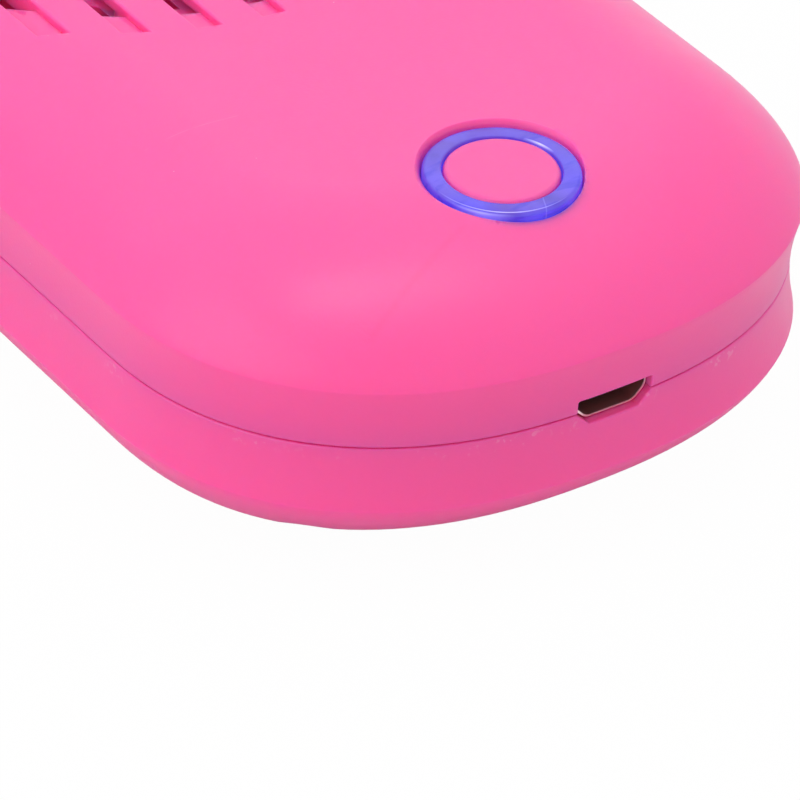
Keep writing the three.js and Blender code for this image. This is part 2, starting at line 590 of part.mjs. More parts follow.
// Frame with upright vanes, its front drawn to the curve of the head and a flange behind the wall
function outletGrille() {
  const [halfX, halfZ] = [MOUTH_HALF_WIDTH - FIT, MOUTH_HALF_HEIGHT - FIT];
  const rear = HEAD_Y - OUTLET_DEPTH;
  const frame = solid(block(halfX, rear + FIT, HEAD_Y, -halfZ, halfZ));
  const flangeHalfZ = halfZ + OUTLET_FLANGE;
  const flange = solid(block(halfX, rear - OUTLET_FLANGE, rear, -flangeHalfZ, flangeHalfZ));
  const hollow = solid(block(halfX - OUTLET_FRAME, rear - 2 * OUTLET_FLANGE, HEAD_Y + OVERRUN,
    -halfZ + OUTLET_FRAME, halfZ - OUTLET_FRAME));
  const neck = solid(block(halfX, rear - OUTLET_FLANGE, rear + 2 * FIT, -halfZ, halfZ));
  const pitch = (2 * (halfX - OUTLET_FRAME) + VANE_THICKNESS) / (VANE_COUNT + 1);
  const vanes = Array.from({ length: VANE_COUNT }, (_, index) => {
    const x = (index - (VANE_COUNT - 1) / 2) * pitch;
    return solid(block(VANE_THICKNESS / 2, rear - OUTLET_FLANGE, HEAD_Y, -halfZ, halfZ, x));
  });
  const front = planPrism(OUTLET_SETBACK, -OUTLET_DEPTH, OUTLET_DEPTH);
  return join(cut(join(frame, flange, neck), hollow), ...vanes).intersect(front);
}

function lightRing() {
  const ledgeTop = CAP_BOTTOM;
  const ledgeBottom = ledgeTop - RING_LEDGE_THICKNESS;
  return turned([
    [RING_BORE, FLANGE_BOTTOM], [RING_RADIUS + RING_FLANGE, FLANGE_BOTTOM],
    [RING_RADIUS + RING_FLANGE, FLANGE_TOP], [RING_RADIUS, FLANGE_TOP],
    [RING_RADIUS, RING_TOP - RING_BEVEL], [RING_RADIUS - RING_BEVEL, RING_TOP],
    [RING_BORE + RING_INNER_BEVEL, RING_TOP], [RING_BORE, RING_TOP - RING_INNER_BEVEL],
    [RING_BORE, ledgeTop], [RING_BORE - RING_LEDGE, ledgeTop], [RING_BORE - RING_LEDGE, ledgeBottom],
    [RING_BORE, ledgeBottom], [RING_BORE, FLANGE_BOTTOM],
  ], 0, BUTTON_Y);
}

function buttonCap() {
  const radius = RING_BORE - CLOSE_FIT;
  const stemFoot = BOARD_TOP + PLUNGER_TOP + CLOSE_FIT;
  return turned([
    [0, stemFoot], [CAP_STEM_RADIUS, stemFoot], [CAP_STEM_RADIUS, CAP_BOTTOM], [radius, CAP_BOTTOM],
    [radius, CAP_TOP - CAP_EDGE], [radius - CAP_EDGE, CAP_TOP], [0, CAP_TOP],
  ], 0, BUTTON_Y);
}

function switchBase() {
  const base = solid(block(SWITCH_SIDE / 2, BUTTON_Y - SWITCH_SIDE / 2, BUTTON_Y + SWITCH_SIDE / 2,
    BOARD_TOP, BOARD_TOP + SWITCH_HEIGHT));
  return cut(base, solid(rod(PLUNGER_RADIUS + FIT, 0, BUTTON_Y, BOARD_TOP + PLUNGER_WELL,
    BOARD_TOP + SWITCH_HEIGHT + OVERRUN)));
}

function switchFrame() {
  const low = BOARD_TOP + SWITCH_HEIGHT;
  const plate = solid(block(SWITCH_SIDE / 2, BUTTON_Y - SWITCH_SIDE / 2, BUTTON_Y + SWITCH_SIDE / 2,
    low, low + SWITCH_FRAME));
  return cut(plate, solid(rod(PLUNGER_RADIUS + FIT, 0, BUTTON_Y, low - OVERRUN, low + OVERRUN)));
}

const switchPlunger = () =>
  rod(PLUNGER_RADIUS, 0, BUTTON_Y, BOARD_TOP + PLUNGER_FOOT, BOARD_TOP + PLUNGER_TOP);

function circuitBoard() {
  const shape = roundedRectangle(
    BOARD_HALF_WIDTH, BOARD_TAIL, BOARD_HEAD, BOARD_TAIL_RADIUS, BOARD_CORNER_RADIUS);
  const holes = boardScrewPlaces.map(([x, y]) =>
    solid(rod(SCREW_SHANK_RADIUS + FIT, x, y, BOARD_BOTTOM - OVERRUN, BOARD_TOP + OVERRUN)));
  return cut(solid(upright(shape, BOARD_BOTTOM, BOARD_TOP)), ...holes);
}

function usbShell() {
  const shape = portShape(0);
  shape.holes.push(portShape(-PORT_SHELL));
  return lengthwise(shape, PORT_FRONT, PORT_FRONT + PORT_DEPTH);
}

// Insulator: a block at the back of the shell and the tongue that carries the contacts
function usbTongue() {
  const back = PORT_FRONT + PORT_DEPTH;
  const blockFront = back - PORT_BLOCK;
  const top = PORT_HEIGHT / 2 - PORT_SHELL - CLOSE_FIT - TONGUE_THICKNESS / 2;
  return join(
    solid(lengthwise(portShape(-PORT_SHELL - CLOSE_FIT), blockFront, back)),
    solid(block(
      TONGUE_WIDTH / 2, blockFront - TONGUE_LENGTH, back, top - TONGUE_THICKNESS, top, PORT_OFFSET)));
}

function usbContact(x) {
  const top = PORT_HEIGHT / 2 - PORT_SHELL - CLOSE_FIT - 1.5 * TONGUE_THICKNESS;
  const front = PORT_FRONT + PORT_DEPTH - PORT_BLOCK - TONGUE_LENGTH;
  return block(CONTACT_WIDTH / 2, front + CLOSE_FIT, front + TONGUE_LENGTH - CLOSE_FIT,
    top - CONTACT_THICKNESS, top, PORT_OFFSET + x);
}

function blueLed(turn) {
  const geometry = new THREE.BoxGeometry(LED_LENGTH, LED_WIDTH, LED_HEIGHT).rotateZ(turn + Math.PI / 2);
  return geometry.translate(
    LED_CIRCLE * Math.cos(turn), BUTTON_Y + LED_CIRCLE * Math.sin(turn), BOARD_TOP + LED_HEIGHT / 2);
}

// A small chip with legs along both long sides
function chip(x, y) {
  const body = solid(block(CHIP_LENGTH / 2, y - CHIP_WIDTH / 2, y + CHIP_WIDTH / 2,
    BOARD_TOP + CHIP_LEG_THICKNESS, BOARD_TOP + CHIP_HEIGHT, x));
  const legs = Array.from({ length: CHIP_LEG_COUNT }, (_, index) => solid(block(
    CHIP_LEG_WIDTH / 2, y - CHIP_SPAN / 2, y + CHIP_SPAN / 2, BOARD_TOP, BOARD_TOP + 2 * CHIP_LEG_THICKNESS,
    x + (index - (CHIP_LEG_COUNT - 1) / 2) * CHIP_LEG_PITCH)));
  return join(body, ...legs);
}

function inductorCore(x, y) {
  const top = BOARD_TOP + INDUCTOR_HEIGHT;
  return turned([
    [0, BOARD_TOP], [INDUCTOR_RADIUS, BOARD_TOP], [INDUCTOR_RADIUS, BOARD_TOP + INDUCTOR_FLANGE],
    [INDUCTOR_WAIST, BOARD_TOP + INDUCTOR_FLANGE], [INDUCTOR_WAIST, top - INDUCTOR_FLANGE],
    [INDUCTOR_RADIUS, top - INDUCTOR_FLANGE], [INDUCTOR_RADIUS, top], [0, top],
  ], x, y, SMALL_STEPS);
}

const inductorWinding = (x, y) => turned(ringOutline(
  INDUCTOR_WAIST + CLOSE_FIT, INDUCTOR_RADIUS - CLOSE_FIT, BOARD_TOP + INDUCTOR_FLANGE + CLOSE_FIT,
  BOARD_TOP + INDUCTOR_HEIGHT - INDUCTOR_FLANGE - CLOSE_FIT), x, y, SMALL_STEPS);

const capacitor = (x) => block(CAPACITOR_WIDTH / 2, BUTTON_Y - CAPACITOR_LENGTH / 2,
  BUTTON_Y + CAPACITOR_LENGTH / 2, BOARD_TOP, BOARD_TOP + CAPACITOR_HEIGHT, x);

// Battery plug and socket, at the head edge of the board
const SOCKET_X = -BOARD_HALF_WIDTH / 2;
const SOCKET_Y = BOARD_HEAD - SOCKET_LENGTH;

function batterySocket() {
  const outer = solid(block(SOCKET_WIDTH / 2, SOCKET_Y - SOCKET_LENGTH / 2, SOCKET_Y + SOCKET_LENGTH / 2,
    BOARD_TOP, BOARD_TOP + SOCKET_HEIGHT, SOCKET_X));
  return cut(outer, solid(block(SOCKET_WIDTH / 2 - SOCKET_WALL, SOCKET_Y - SOCKET_LENGTH / 2 + SOCKET_WALL,
    SOCKET_Y + SOCKET_LENGTH / 2 + OVERRUN, BOARD_TOP + SOCKET_WALL, BOARD_TOP + SOCKET_HEIGHT - SOCKET_WALL,
    SOCKET_X)));
}

const batteryPlug = () => block(
  SOCKET_WIDTH / 2 - SOCKET_WALL - CLOSE_FIT, SOCKET_Y - SOCKET_LENGTH / 2 + SOCKET_WALL + CLOSE_FIT,
  SOCKET_Y + SOCKET_LENGTH / 2 + PLUG_STAND, BOARD_TOP + SOCKET_WALL + CLOSE_FIT,
  BOARD_TOP + SOCKET_HEIGHT - SOCKET_WALL - CLOSE_FIT, SOCKET_X);

function batteryCell() {
  const shape = roundedRectangle(BATTERY_HALF_WIDTH - BATTERY_BEVEL, BATTERY_TAIL + BATTERY_BEVEL,
    BATTERY_HEAD - GUARD_LENGTH - BATTERY_BEVEL, BATTERY_ROUND, BATTERY_ROUND);
  const geometry = new THREE.ExtrudeGeometry(shape, {
    depth: BATTERY_THICKNESS - 2 * BATTERY_BEVEL, bevelEnabled: true, bevelThickness: BATTERY_BEVEL,
    bevelSize: BATTERY_BEVEL, bevelSegments: 2, curveSegments: CORNER_STEPS / 2,
  });
  return geometry.translate(0, 0, BATTERY_BASE + BATTERY_BEVEL);
}

const batteryGuard = () => block(GUARD_HALF_WIDTH, BATTERY_HEAD - GUARD_LENGTH, BATTERY_HEAD,
  (BATTERY_BASE + BATTERY_TOP - GUARD_HEIGHT) / 2, (BATTERY_BASE + BATTERY_TOP + GUARD_HEIGHT) / 2);

const batteryTape = () => block(BATTERY_HALF_WIDTH - TAPE_MARGIN, BATTERY_TAIL + TAPE_MARGIN,
  BATTERY_HEAD - TAPE_MARGIN, FLOOR_Z, BATTERY_BASE);

// An insulated lead along a line of points
function lead(points) {
  const path = new THREE.CatmullRomCurve3(points.map(([x, y, z]) => new THREE.Vector3(x, y, z)));
  const ring = new THREE.EllipseCurve(0, 0, LEAD_RADIUS, LEAD_RADIUS).getPoints(LEAD_SIDES);
  const section = new THREE.Shape(ring.slice(0, LEAD_SIDES));
  return new THREE.ExtrudeGeometry(section, {
    steps: 2 * points.length, extrudePath: path, bevelEnabled: false,
  });
}

const plugFace = SOCKET_Y + SOCKET_LENGTH / 2 + PLUG_STAND + FIT;
const plugHeight = BOARD_TOP + SOCKET_HEIGHT / 2;
const leadGully = BATTERY_HEAD + LEAD_RADIUS + FIT;

const batteryLead = (side) => {
  const x = SOCKET_X + side * LEAD_SPACING / 2;
  const guardMiddle = (BATTERY_BASE + BATTERY_TOP) / 2;
  return lead([
    [x, BATTERY_HEAD + FIT, guardMiddle], [x, leadGully + LEAD_RADIUS, guardMiddle + 3 * LEAD_RADIUS],
    [x, leadGully + LEAD_RADIUS, BATTERY_TOP + 3 * LEAD_RADIUS],
    [x, (leadGully + plugFace) / 2, plugHeight + LEAD_RADIUS],
    [x, plugFace + 4 * LEAD_RADIUS, plugHeight], [x, plugFace, plugHeight],
  ]);
};

const motorLead = (side) => {
  const x = side * LEAD_SPACING / 2;
  const floor = FLOOR_Z + 2 * LEAD_RADIUS + FIT;
  const terminal = FAN_Y - MOTOR_RADIUS - TERMINAL_LENGTH - FIT;
  return lead([
    [x, BOARD_HEAD - 4 * LEAD_RADIUS, BOARD_TOP + LEAD_RADIUS + CLOSE_FIT],
    [x, BOARD_HEAD + 4 * LEAD_RADIUS, BOARD_TOP + LEAD_RADIUS],
    [x, leadGully + 2 * LEAD_RADIUS, BATTERY_TOP],
    [x, leadGully + 2 * LEAD_RADIUS, floor + 4 * LEAD_RADIUS],
    [x, leadGully + 8 * LEAD_RADIUS, floor],
    [x, terminal - 8 * LEAD_RADIUS, floor],
    [side * TERMINAL_SPACING / 2, terminal, MOTOR_BASE + MOTOR_PLATE / 2],
  ]);
};

function motorCan() {
  const base = MOTOR_BASE + MOTOR_PLATE;
  const bore = SHAFT_RADIUS + FIT;
  const outline = [
    [bore, base], [MOTOR_RADIUS, base], [MOTOR_RADIUS, MOTOR_TOP - MOTOR_ROUND],
    [MOTOR_RADIUS - MOTOR_ROUND / 4, MOTOR_TOP - MOTOR_ROUND / 4], [MOTOR_RADIUS - MOTOR_ROUND, MOTOR_TOP],
    [bore, MOTOR_TOP], [bore, base],
  ];
  return turned(outline, 0, FAN_Y);
}

function motorEndPlate() {
  const plate = solid(rod(MOTOR_RADIUS - FIT, 0, FAN_Y, MOTOR_BASE, MOTOR_BASE + MOTOR_PLATE, ROUND_STEPS));
  const holes = motorScrewPlaces.map(([x, y]) => solid(rod(
    SCREW_SHANK_RADIUS + CLOSE_FIT, x, y, MOTOR_BASE - OVERRUN, MOTOR_BASE + MOTOR_PLATE + OVERRUN)));
  return cut(plate, ...holes);
}

const motorBush = () => turned(ringOutline(
  SHAFT_RADIUS + RUNNING_FIT, BUSH_RADIUS, MOTOR_TOP, MOTOR_TOP + BUSH_HEIGHT), 0, FAN_Y, SMALL_STEPS);

const motorShaft = () => rod(
  SHAFT_RADIUS, 0, FAN_Y, IMPELLER_TOP + FIT - SHAFT_LENGTH, IMPELLER_TOP + FIT);

const shaftWasher = () => turned(ringOutline(
  SHAFT_RADIUS + CLOSE_FIT, WASHER_RADIUS, MOTOR_TOP + BUSH_HEIGHT + FIT,
  MOTOR_TOP + BUSH_HEIGHT + FIT + WASHER_THICKNESS), 0, FAN_Y, SMALL_STEPS);

const motorTerminal = (x) => block(
  TERMINAL_WIDTH / 2, FAN_Y - MOTOR_RADIUS - TERMINAL_LENGTH, FAN_Y - MOTOR_RADIUS,
  MOTOR_BASE + MOTOR_PLATE / 2, MOTOR_BASE + MOTOR_PLATE / 2 + TERMINAL_THICKNESS, x);

// One forward-curved blade, its rim ahead of its root in the sense of rotation
function blade(index) {
  const root = IMPELLER_EYE;
  const rim = IMPELLER_RADIUS - FIT;
  const lean = radians(BLADE_LEAN);
  const along = (share, offset) => {
    const radius = root + (rim - root) * share;
    const turn = lean * share ** 2 + (offset + BLADE_BULGE * Math.sin(Math.PI * share)) / radius;
    return new THREE.Vector2(radius * Math.cos(turn), radius * Math.sin(turn));
  };
  const shares = [0, 0.5, 1];
  const ahead = shares.map((share) => along(share, BLADE_THICKNESS / 2));
  const behind = shares.map((share) => along(share, -BLADE_THICKNESS / 2));
  const geometry = upright(new THREE.Shape([...behind, ...ahead.reverse()]), IMPELLER_BASE, IMPELLER_TOP);
  return solid(geometry.rotateZ(index * 2 * Math.PI / BLADE_COUNT).translate(0, FAN_Y, 0));
}

// Two-sided blower wheel: a disc over the motor carries blades held by a hoop at each end
function impeller() {
  const inner = IMPELLER_RADIUS - IMPELLER_HOOP_WIDTH;
  const hoop = (low) => solid(turned(
    ringOutline(inner, IMPELLER_RADIUS, low, low + IMPELLER_HOOP_HEIGHT), 0, FAN_Y));
  const disc = solid(rod(
    IMPELLER_EYE + BLADE_BULGE, 0, FAN_Y, DISC_BASE, DISC_BASE + IMPELLER_DISC, ROUND_STEPS));
  const boss = solid(rod(IMPELLER_BOSS_RADIUS, 0, FAN_Y, DISC_BASE, IMPELLER_TOP));
  const blades = Array.from({ length: BLADE_COUNT }, (_, index) => blade(index));
  const bore = solid(rod(SHAFT_RADIUS + CLOSE_FIT, 0, FAN_Y, DISC_BASE - OVERRUN, IMPELLER_TOP + OVERRUN));
  const hoops = [hoop(IMPELLER_BASE), hoop(IMPELLER_TOP - IMPELLER_HOOP_HEIGHT)];
  return cut(join(disc, boss, ...blades, ...hoops), bore);
}

// Pan-head screw with the underside of its head on its seat
// and its point up, or both turned over when it is driven down from above
const screw = ([x, y], seat, length, up = 1) => turned([
  [0, seat - up * SCREW_HEAD_HEIGHT], [SCREW_HEAD_RADIUS - CLOSE_FIT, seat - up * SCREW_HEAD_HEIGHT],
  [SCREW_HEAD_RADIUS, seat - up * SCREW_HEAD_HEIGHT / 2], [SCREW_HEAD_RADIUS, seat],
  [SCREW_SHANK_RADIUS, seat], [SCREW_SHANK_RADIUS, seat + up * (length - SCREW_SHANK_RADIUS)],
  [0, seat + up * length],
], x, y, SMALL_STEPS);

const caseScrew = (place) => screw(place, SCREW_SEAT, SCREW_BITE - SCREW_SEAT);
const boardScrew = (place) => screw(place, BOARD_TOP, BOARD_THICKNESS + BOARD_SCREW_LENGTH - FIT, -1);
const motorScrew = (place) => screw(place, BOTTOM_Z + SCREW_HEAD_HEIGHT + FIT, MOTOR_SCREW_LENGTH);

// Places of the loose parts on the board, worked out from its edges
const CHIP_SIDE = BOARD_HALF_WIDTH / 2;
const COIL_SIDE = BOARD_HALF_WIDTH - 2 * INDUCTOR_RADIUS;

// Evenly spaced places, centred on zero
const spaced = (count, pitch) =>
  Array.from({ length: count }, (_, index) => (index - (count - 1) / 2) * pitch);
const ledTurns = Array.from({ length: LED_COUNT }, (_, index) => (index + 0.5) * (2 * Math.PI / LED_COUNT));
const capacitorPlaces = spaced(CAPACITOR_COUNT, CAPACITOR_PITCH).map((x) => x - COIL_SIDE);

// One named copy of a piece at each place
const copies = (name, form, places, material) =>
  places.map((place, index) => [`${name}_${index + 1}`, form(place), material]);

const pieces = [
  ['top_cover', topCover(), pinkPlastic],
  ['bottom_cover', bottomCover(), pinkPlastic],
  ['outlet_grille', outletGrille(), pinkPlastic],
  ['button_cap', buttonCap(), pinkPlastic],
  ['light_ring', lightRing(), clearBlue],
  ['switch_base', switchBase(), blackPlastic],
  ['switch_frame', switchFrame(), steel],
  ['switch_plunger', switchPlunger(), blackPlastic],
  ['circuit_board', circuitBoard(), boardGreen],
  ['usb_shell', usbShell(), steel],
  ['usb_tongue', usbTongue(), blackPlastic],
  ...copies('usb_contact', usbContact, spaced(CONTACT_COUNT, CONTACT_PITCH), brass),
  ...copies('blue_led', blueLed, ledTurns, whitePlastic),
  ['charger_chip', chip(CHIP_SIDE, CHIP_ROW), blackPlastic],
  ['control_chip', chip(0, CHIP_ROW), blackPlastic],
  ['inductor_core', inductorCore(COIL_SIDE, BUTTON_Y), ferrite],
  ['inductor_winding', inductorWinding(COIL_SIDE, BUTTON_Y), copper],
  ...copies('capacitor', capacitor, capacitorPlaces, ceramic),
  ['battery_socket', batterySocket(), whitePlastic],
  ['battery_plug', batteryPlug(), whitePlastic],
  ['battery_cell', batteryCell(), foil],
  ['battery_guard', batteryGuard(), boardGreen],
  ['battery_tape', batteryTape(), foam],
  ['battery_lead_red', batteryLead(1), redRubber],
  ['battery_lead_black', batteryLead(-1), blackRubber],
  ['motor_can', motorCan(), steel],
  ['motor_end_plate', motorEndPlate(), blackPlastic],
  ['motor_bush', motorBush(), brass],
  ['motor_shaft', motorShaft(), steel],
  ['shaft_washer', shaftWasher(), whitePlastic],
  ...copies('motor_terminal', motorTerminal, spaced(2, TERMINAL_SPACING), brass),
  ['motor_lead_red', motorLead(1), redRubber],
  ['motor_lead_black', motorLead(-1), blackRubber],
  ['impeller', impeller(), pinkPlastic],
  ...copies('case_screw', caseScrew, caseScrewPlaces, steel),
  ...copies('board_screw', boardScrew, boardScrewPlaces, steel),
  ...copies('motor_screw', motorScrew, motorScrewPlaces, steel),
];

const group = new THREE.Group();
group.position.z = -BOTTOM_Z;
for (const [name, form, material] of pieces) {
  const geometry = form.isBufferGeometry ? closed(form) : geometryOf(form);
  const mesh = new THREE.Mesh(geometry, material);
  mesh.name = name;
  group.add(mesh);
}

export default group;
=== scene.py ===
# Hand-held eyelash dryer fan: moulded pink covers, lit push button, charging port and air outlet.
# Metres, +Z up, +Y towards the air outlet. The fan lies on its back at z = 0.
import json
import math
from collections import namedtuple

import bmesh
import bpy
from mathutils import Matrix, Vector

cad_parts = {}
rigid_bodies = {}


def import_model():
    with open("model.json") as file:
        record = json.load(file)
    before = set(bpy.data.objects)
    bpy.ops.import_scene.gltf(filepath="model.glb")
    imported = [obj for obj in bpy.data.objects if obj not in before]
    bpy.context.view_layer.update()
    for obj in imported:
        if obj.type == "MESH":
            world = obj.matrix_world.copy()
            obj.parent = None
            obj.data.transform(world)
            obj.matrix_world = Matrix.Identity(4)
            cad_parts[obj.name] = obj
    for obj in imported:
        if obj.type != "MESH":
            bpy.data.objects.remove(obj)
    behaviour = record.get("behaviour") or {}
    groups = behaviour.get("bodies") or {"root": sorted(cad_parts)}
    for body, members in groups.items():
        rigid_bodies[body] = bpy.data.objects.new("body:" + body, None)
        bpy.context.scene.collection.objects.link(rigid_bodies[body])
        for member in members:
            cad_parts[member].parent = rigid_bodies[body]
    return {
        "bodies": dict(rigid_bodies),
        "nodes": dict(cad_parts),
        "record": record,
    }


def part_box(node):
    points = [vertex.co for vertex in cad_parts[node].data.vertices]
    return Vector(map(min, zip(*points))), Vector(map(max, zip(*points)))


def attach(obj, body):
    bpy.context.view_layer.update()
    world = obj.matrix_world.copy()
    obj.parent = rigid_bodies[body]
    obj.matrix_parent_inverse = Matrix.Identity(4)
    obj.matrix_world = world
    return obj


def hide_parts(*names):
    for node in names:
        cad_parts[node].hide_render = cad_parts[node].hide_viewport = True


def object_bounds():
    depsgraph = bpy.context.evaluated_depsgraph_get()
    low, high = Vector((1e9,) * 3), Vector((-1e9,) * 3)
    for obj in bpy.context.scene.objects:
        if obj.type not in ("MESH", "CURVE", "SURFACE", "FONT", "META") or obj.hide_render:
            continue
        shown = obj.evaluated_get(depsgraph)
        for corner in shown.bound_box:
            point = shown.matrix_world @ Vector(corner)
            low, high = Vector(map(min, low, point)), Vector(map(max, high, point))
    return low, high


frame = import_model()
cad_low, cad_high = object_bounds()

# Form of the body, measured from the parting plane of its two covers
WAIST_HOLLOW = 0.00075
WAIST_HEIGHT = 0.0062
HALF_WIDTH = cad_high.x - WAIST_HOLLOW
HALF_LENGTH = cad_high.y - WAIST_HOLLOW
PARTING_Z = (cad_low.z + cad_high.z) / 2
DOME_RISE = cad_high.z - PARTING_Z - WAIST_HEIGHT
END_DEPTH = 0.0287
END_CENTRE = HALF_LENGTH - END_DEPTH
END_SIDE_POWER = 2.36
END_TIP_POWER = 2.23
SHOULDER_POWER = 1.54
WALL = 0.0022
SEAM = 0.00012
RIM_ROUND = 0.0002
LIP_THICKNESS = 0.0009
LIP_SEAT = 0.0018
LIP_FIT = 0.0003
LIP_DEPTH = 0.003
RIB_OVERLAP = 0.0001
RIB_FIT = 0.00005

# Facets of the covers
END_STEPS = 64
SIDE_STEPS = 10
WAIST_STEPS = 7
DOME_STEPS = 26
RIM_STEPS = 3
FLARE_STEPS = 4
PORT_ROUND_STEPS = 8
MOUTH_STEPS = (40, 6)
SMALL_HOLE_STEPS = 48
ROUND_STEPS = 128
RING_STEPS = 160
DISC_STEPS = 96
SCREW_STEPS = 40
SHANK_STEPS = 24
BISECTIONS = 24
MERGE = 1e-7

# Rounded rims of what is cut through the skin
FLARE_TURN = math.radians(75)
FLARE_REACH = 0.0004
SLOT_RIM = 0.0003
PORT_RIM = 0.00022
MOUTH_RIM = 0.0007
WELL_RIM = 0.0004
OVERRUN = 0.001
THROUGH = 0.004

# Grille slots over the fan
SLOT_COUNT = 8
SLOT_PITCH = 0.0063
SLOT_WIDTH = 0.0023
SLOT_REACH = 0.0197
SLOT_END_RADIUS = 0.0284
SHELF_REACH = 0.023
SHELF_END_RADIUS = 0.0355
SHELF_DEPTH = 0.00075
SLOT_STEPS = (4, 20)
GRILLE_WALL = 0.0011
GRILLE_THINNED_RADIUS = 0.0201

# Mouth, screw wells
MOUTH_GAP = 0.0003
MOUTH_HALF_HEIGHT = 0.0056
MOUTH_DEPTH = 0.012
WELL_RADIUS = 0.0027
WELL_DEPTH = 0.006
PAD_RADIUS = 0.0114
COUNTERBORE_RADIUS = 0.00235
COUNTERBORE_DEPTH = 0.0016
COUNTERBORE_RIM = 0.0002
SHANK_BORE_RADIUS = 0.00115

# Button: a clear ring round a cap, both free in a hole
RING_RADIUS = 0.0071
RING_BORE = 0.00538
RING_ROUND = 0.00042
RING_INNER_ROUND = 0.00018
RING_FLANGE_THICKNESS = 0.001
RING_LEDGE = 0.0014
RING_LEDGE_THICKNESS = 0.001
HOLE_GAP = 0.00012
DISH_DEPTH = 0.0012
DISH_REACH = 0.0005
DISH_POWER = 1.5
DISH_WIDENING = 3
DISH_WIDE_TURN = math.radians(233)
DISH_STEPS = 12
DISH_LIFT = 0.00002
CAP_GAP = 0.00014
CAP_RISE = 0.00005
CAP_THICKNESS = 0.0019
CAP_ROUND = 0.00055
CAP_STEM_RADIUS = 0.0019

# Charging port
PORT_OFFSET = 0.0005
PORT_HALF_WIDTH = 0.00385
PORT_HALF_HEIGHT = 0.00122
PORT_HALF_FLAT = 0.0026
PORT_CHAMFER = 0.0012
PORT_TOP_ROUND = 0.00018
NOTCH_ROUND = 0.00025
SHELL_ROUND = 0.0013
PORT_GAP = 0.00013
PORT_FACET = 0.0008
SHELL_METAL = 0.00016
SHELL_EDGE = 0.00004

# Outlet grille
GRILLE_SETBACK = 0.001
GRILLE_FRAME = 0.0012
GRILLE_FLANGE = 0.0011
GRILLE_EDGE = 0.00025
VANE_COUNT = 5
VANE_THICKNESS = 0.001

# Impeller
EYE_RADIUS = 0.0156
IMPELLER_GAP = 0.0003
BLADE_COUNT = 20
BLADE_STEPS = 8
BLADE_THICKNESS = 0.0009
BLADE_LEAN = math.radians(13)
BLADE_BULGE = 0.0011
HOOP_WIDTH = 0.0017
HOOP_HEIGHT = 0.001
DISC_TOP_DROP = 0.005
DISC_THICKNESS = 0.0012
BOSS_RADIUS = 0.0029
BOSS_BORE = 0.00115

# Screws
SCREW_SHANK_RADIUS = 0.001
SCREW_HEAD_HEIGHT = 0.0013
SCREW_HEAD_ROUND = 0.0006
RECESS_LENGTH = 0.0026
RECESS_WIDTH = 0.0006
RECESS_DEPTH = 0.0008

# Pink of the covers: base colours, gloss, depth of grain, and how far red, green and blue scatter in it
PINK = (0.965, 0.086, 0.346), (0.99, 0.0905, 0.36)
PINK_ROUGHNESS = (0.285, 0.325)
PINK_SPECULAR = 0.4
PINK_SCATTER = (0.002, 0.0004, 0.0008)
PINK_GRAIN = 0.000012

# Marks on the covers: places in the plan, and how far the scuffed band lies below the parting line
FLOW_LINE = [(-0.0075, -0.0427), (-0.0124, -0.0446), (-0.0169, -0.0465), (-0.0208, -0.0479)]
FLOW_HALF_WIDTH = 0.0005
FLOW_STRENGTH = 0.12
FLOW_PINK = (0.72, 0.03, 0.17)
SCRATCH = [(-0.0248, -0.0183), (-0.0154, -0.0192)]
SCRATCH_HALF_WIDTH = 0.0001
SCRATCH_STRENGTH = 0.25
SCUFF_BAND = (0.0016, 0.0011, 0.0004, 0.0002)
SCUFF_STRENGTH = 0.5
PALE_PINK = (1, 0.55, 0.72)
PALE_STRENGTH = 0.4

# Light in the ring: its blues, how far below its top the side's blue ends and the top's begins
RING_GLOW = 0.9
RING_SIDE = (0.00045, 0.0001)
RING_SIDE_BLUE = (0.04, 0.036, 0.55)
RING_TOP_BLUE = (0.062, 0.034, 0.35)
RING_CLOUD_BLUE = (0.085, 0.065, 0.5)
RING_STREAK_BLUE = (0.014, 0.01, 0.34)
RING_WELD_BLUE = (0.2, 0.17, 0.6)
# Colour of the painted highlights along the ring's edges
RING_HIGHLIGHT_BLUE = (0.42, 0.38, 0.9)

# Marks on the ring: patches of (angle, radius, size, strength, colour) and the weld's ends (radius, angle).
# Painted highlights on the ring: bright lines round the axis of (angle, radius, half width, reach, strength)
RING_PATCHES = [
    (109, 0.0062, 0.0026, 0.8, (0.07, 0.035, 0.27)), (70, 0.0062, 0.0022, 0.8, (0.06, 0.015, 0.27)),
    (128, 0.0064, 0.0013, 0.5, (0.03, 0.012, 0.2)), (167, 0.0063, 0.0028, 0.7, (0.07, 0.035, 0.42)),
    (-82, 0.0059, 0.0016, 0.9, (0.035, 0.02, 0.24)), (-120, 0.006, 0.0024, 0.9, (0.045, 0.012, 0.26)),
    (-60, 0.0063, 0.0018, 0.8, (0.08, 0.045, 0.42)), (-20, 0.0062, 0.0024, 0.7, (0.05, 0.04, 0.42)),
    (-150, 0.007, 0.003, 0.6, (0.016, 0.01, 0.5)), (-45, 0.0068, 0.0024, 0.5, (0.02, 0.012, 0.5))]
RING_WELD = [(0.0054, -85), (0.0073, -93)]
WELD_HALF_WIDTH = 0.00009
RING_PAINTED_HIGHLIGHTS = [
    (-125, 0.00682, 0.00007, 0.0065, 0.8), (-140, 0.00705, 0.00012, 0.003, 0.5),
    (17, 0.00552, 0.00016, 0.0017, 1), (5, 0.0069, 0.00008, 0.003, 0.6)]

